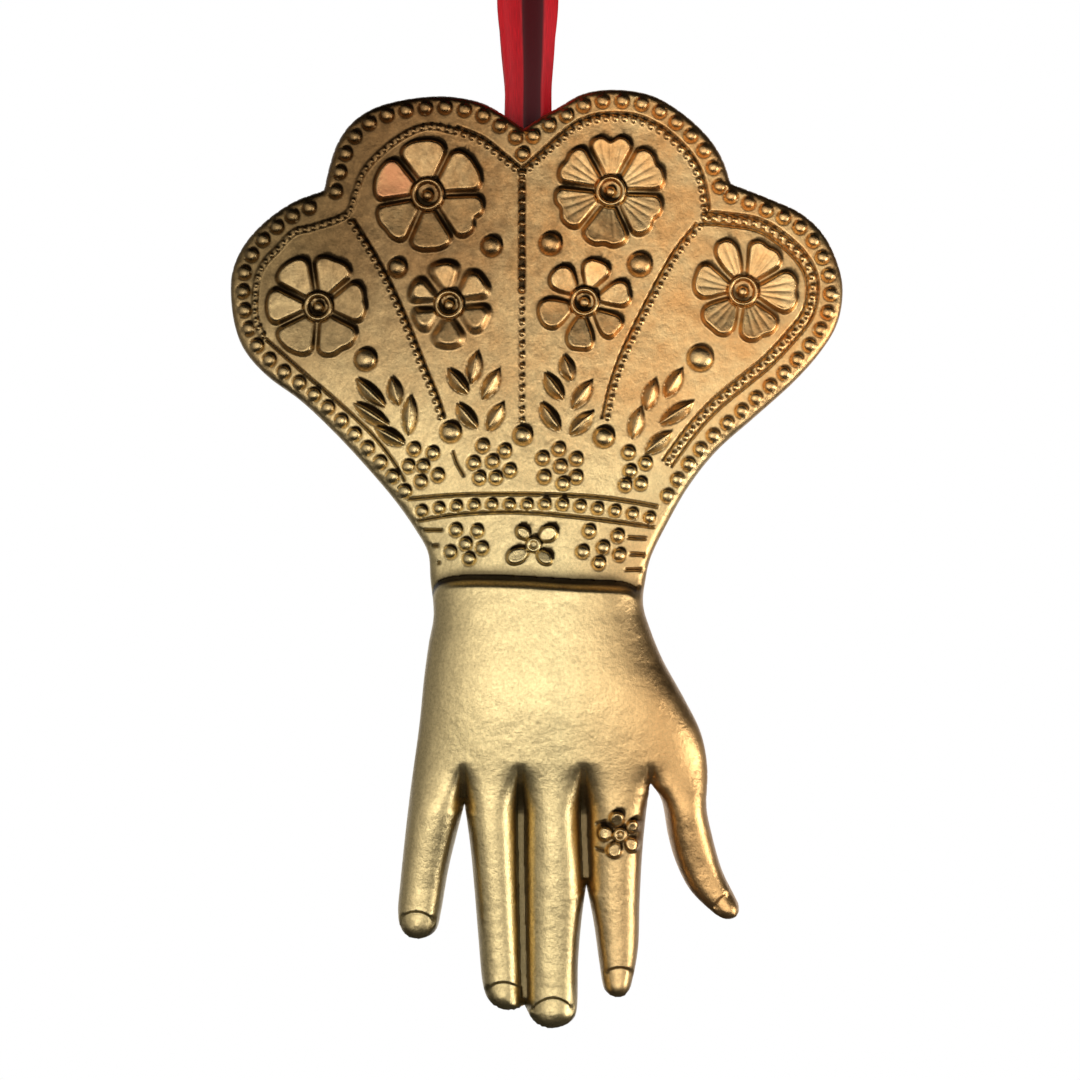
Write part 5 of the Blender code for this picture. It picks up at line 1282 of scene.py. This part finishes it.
def finish_wire(finish, body, node):
    """Closes the wire's ends, rounds their rims and leaves the piece at the origin."""
    bpy.ops.mesh.select_all(action="SELECT")
    bpy.ops.mesh.fill_holes(sides=0)
    bpy.ops.mesh.normals_make_consistent(inside=False)
    bpy.ops.object.mode_set(mode="OBJECT")
    made = bpy.context.object
    rim = made.modifiers.new("rim", "BEVEL")
    rim.width = END_ROUND * MM
    rim.segments = 2
    rim.limit_method = "ANGLE"
    rim.angle_limit = math.radians(60)
    bpy.ops.object.modifier_apply(modifier="rim")
    bpy.ops.object.transform_apply(location=True, rotation=True, scale=True)
    bpy.ops.object.shade_smooth_by_angle(angle=math.radians(40))
    made.data.materials.append(finish)
    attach(made, body)
    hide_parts(node)


wire_brass = drawn_wire("brass_wire", (0.82, 0.62, 0.29), (0.42, 0.26, 0.1))
half_seam = RING_SEAM / RING_RADIUS / 2
seam_x = RING_RADIUS * math.cos(half_seam)
seam_z = RING_CENTRE_Z + RING_RADIUS * math.sin(half_seam)
start_wire("brass_ring", RING_WIRE / 2, (seam_x, 0.0, seam_z), (0.0, -half_seam, 0.0))
bpy.ops.mesh.spin(steps=96, angle=2 * (math.pi - half_seam), center=(0, 0, RING_CENTRE_Z * MM),
                  axis=(0, 1, 0))
finish_wire(wire_brass, "ring", "jump_ring")


# The eye is a staple of the same wire. Its half round end holds the ring, and its two legs stand
# on the back of the sheet, where solder holds them.
EYE_WIRE = 1.0
PIVOT_Z = RING_CENTRE_Z - RING_RADIUS
EYE_RADIUS = RING_WIRE / 2 + GAP + EYE_WIRE / 2
legs = np.array([[-NOTCH_X, PIVOT_Z + EYE_RADIUS - NOTCH_Z],
                 [-NOTCH_X, PIVOT_Z - EYE_RADIUS - NOTCH_Z]])
upper_y, lower_y = (BACK_PLANE_Y - float(depth) for depth in from_grid(back_grid, legs))

start_wire("wire_eye", EYE_WIRE / 2, (0.0, upper_y, PIVOT_Z + EYE_RADIUS), (math.pi / 2, 0.0, 0.0))
bpy.ops.mesh.extrude_region_move(TRANSFORM_OT_translate={"value": (0, -upper_y * MM, 0)})
bpy.ops.mesh.spin(steps=32, angle=math.pi, center=(0, 0, PIVOT_Z * MM), axis=(1, 0, 0))
bpy.ops.mesh.extrude_region_move(TRANSFORM_OT_translate={"value": (0, lower_y * MM, 0)})
finish_wire(wire_brass, "hand", "hanging_eye")


# Solder: a lumpy grey fillet round the foot of each leg, where the melted tin drew up the wire.
# Each is a round foot drawn up ring by ring, then made uneven and smoothed.
SOLDER_FILLET = [(1.15, -0.12), (1.13, 0.06), (0.98, 0.2), (0.8, 0.42), (0.68, 0.72), (0.58, 0.98),
                 (0.44, 1.08)]
SOLDER_LUMP = 0.05

tin, tree, shader = start_material("solder_tin", {"Metallic": 1.0})
stains = noise_over(add_node(tree, "TexCoord").outputs["Object"], 1600.0, 5.0)
grey = two_tone(stains, (0.38, (0.2, 0.16, 0.11)), (0.55, (0.56, 0.55, 0.52)))
set_inputs(shader, {"Base Color": grey, "Roughness": ranged(stains, 0.0, 1.0, 0.6, 0.25)})
add_bump(shader, stains, 0.4, 0.03)

for seed, (node, z, foot_y) in enumerate((("solder_upper", PIVOT_Z + EYE_RADIUS, upper_y),
                                          ("solder_lower", PIVOT_Z - EYE_RADIUS, lower_y))):
    foot, first = SOLDER_FILLET[0][::-1]
    start_wire("tin_" + node[7:], first, (0.0, foot_y + foot, z), (math.pi / 2, 0.0, 0.0))
    for (wide, low_at), (narrow, high_at) in zip(SOLDER_FILLET, SOLDER_FILLET[1:]):
        bpy.ops.mesh.extrude_region_move(
            TRANSFORM_OT_translate={"value": (0, (high_at - low_at) * MM, 0)})
        bpy.ops.transform.resize(value=(narrow / wide, 1.0, narrow / wide),
                                 center_override=(0.0, (foot_y + high_at) * MM, z * MM))
    bpy.ops.mesh.select_all(action="SELECT")
    bpy.ops.transform.vertex_random(offset=SOLDER_LUMP * MM, seed=seed + 3)
    bpy.ops.mesh.fill_holes(sides=0)
    bpy.ops.mesh.normals_make_consistent(inside=False)
    bpy.ops.object.mode_set(mode="OBJECT")
    fillet = bpy.context.object
    flow = fillet.modifiers.new("flow", "SUBSURF")
    flow.levels = flow.render_levels = 2
    bpy.ops.object.modifier_apply(modifier="flow")
    bpy.ops.object.transform_apply(location=True, rotation=True, scale=True)
    bpy.ops.object.shade_smooth()
    fillet.data.materials.append(tin)
    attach(fillet, "hand")
    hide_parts(node)


# The studio: a plain pale floor well below the hand, a white surround that the camera and the
# metal see behind it, two broad soft lamps in front, one on the right and a strong low one on the
# left. What the metal mirrors is a surround that is brightest in front and darkens overhead.
FLOOR_Z = -250.0
FLOOR_RADIUS = 280.0
FLOOR_COLOUR = (0.85, 0.85, 0.84)
FLOOR_GLOW = 0.7
SURROUND_COLOUR = (1.0, 0.98, 0.95)
BRIGHTEST_WAY = (0.25, -0.9, -0.36)
DARKEST_WAY = (0.3, -0.05, 0.95)

bpy.ops.mesh.primitive_circle_add(vertices=96, radius=FLOOR_RADIUS * MM, fill_type="NGON",
                                  location=(0, 0, FLOOR_Z * MM))
floor = bpy.context.object
floor.name = "floor"
pale, tree, shader = start_material("pale_floor", {"Base Color": FLOOR_COLOUR, "Roughness": 0.8})
floor.data.materials.append(pale)
seen = add_node(tree, "LightPath").outputs["Is Camera Ray"]
lift = add_node(tree, "Emission", {"Color": FLOOR_COLOUR, "Strength": seen}).outputs["Emission"]
both = add_node(tree, "MixShader", {"Fac": FLOOR_GLOW, 1: shader.outputs["BSDF"], 2: lift})
set_inputs(tree.nodes["Material Output"], {"Surface": both.outputs["Shader"]})

world = bpy.data.worlds.new("surround")
bpy.context.scene.world = world
world.use_nodes = True
tree = world.node_tree
rays = add_node(tree, "LightPath").outputs
way = add_node(tree, "TexCoord").outputs["Generated"]
behind = ranged(add_node(tree, "SeparateXYZ", {"Vector": way}).outputs["Y"], 0.8, 0.92)
seen_white = maths("MAXIMUM", rays["Is Camera Ray"], product(rays["Is Glossy Ray"], behind))
seen_white = maths("MAXIMUM", seen_white, rays["Is Transmission Ray"])


def turned_to(direction):
    """How far a ray's way is turned towards a direction, from -1 to 1."""
    values = {0: way, 1: Vector(direction).normalized()}
    return add_node(tree, "VectorMath", values, operation="DOT_PRODUCT").outputs["Value"]


level = ranged(turned_to(BRIGHTEST_WAY), -0.2, 0.92, 0.26, 0.96, interpolation_type="SMOOTHSTEP")
shade = ranged(turned_to(DARKEST_WAY), 0.14, 0.6, 1.0, 0.02, interpolation_type="SMOOTHSTEP")
background = tree.nodes["Background"]
set_inputs(background, {"Strength": product(level, shade), "Color": SURROUND_COLOUR})
white = add_node(tree, "Background", {"Color": (1.0, 1.0, 1.0)})
both = add_node(tree, "MixShader", {"Fac": seen_white, 1: background.outputs["Background"],
                                    2: white.outputs["Background"]})
set_inputs(tree.nodes["World Output"], {"Surface": both.outputs["Shader"]})

# Each lamp: its place, its size, its power in watts and the spot that it is aimed at.
for lamp_name, at, size, power, aim in (
        ("soft_front", (60, -430, -150), 190, 0.1, (10, -5, -105)),
        ("soft_low_front", (-70, -430, -250), 190, 0.2, (0, -5, -115)),
        ("soft_right", (320, -70, -230), 200, 0.6, (18, -5, -125)),
        ("soft_low_left", (-300, -200, -400), 110, 1.5, (0, -5, -105))):
    bpy.ops.object.light_add(type="AREA", location=[c * MM for c in at])
    lamp = bpy.context.object
    lamp.name = lamp_name
    lamp.data.size = size * MM
    lamp.data.energy = power
    toward = (Vector(aim) - Vector(at)) * MM
    lamp.rotation_euler = toward.to_track_quat("-Z", "Y").to_euler()

bpy.context.scene.view_settings.view_transform = "Standard"
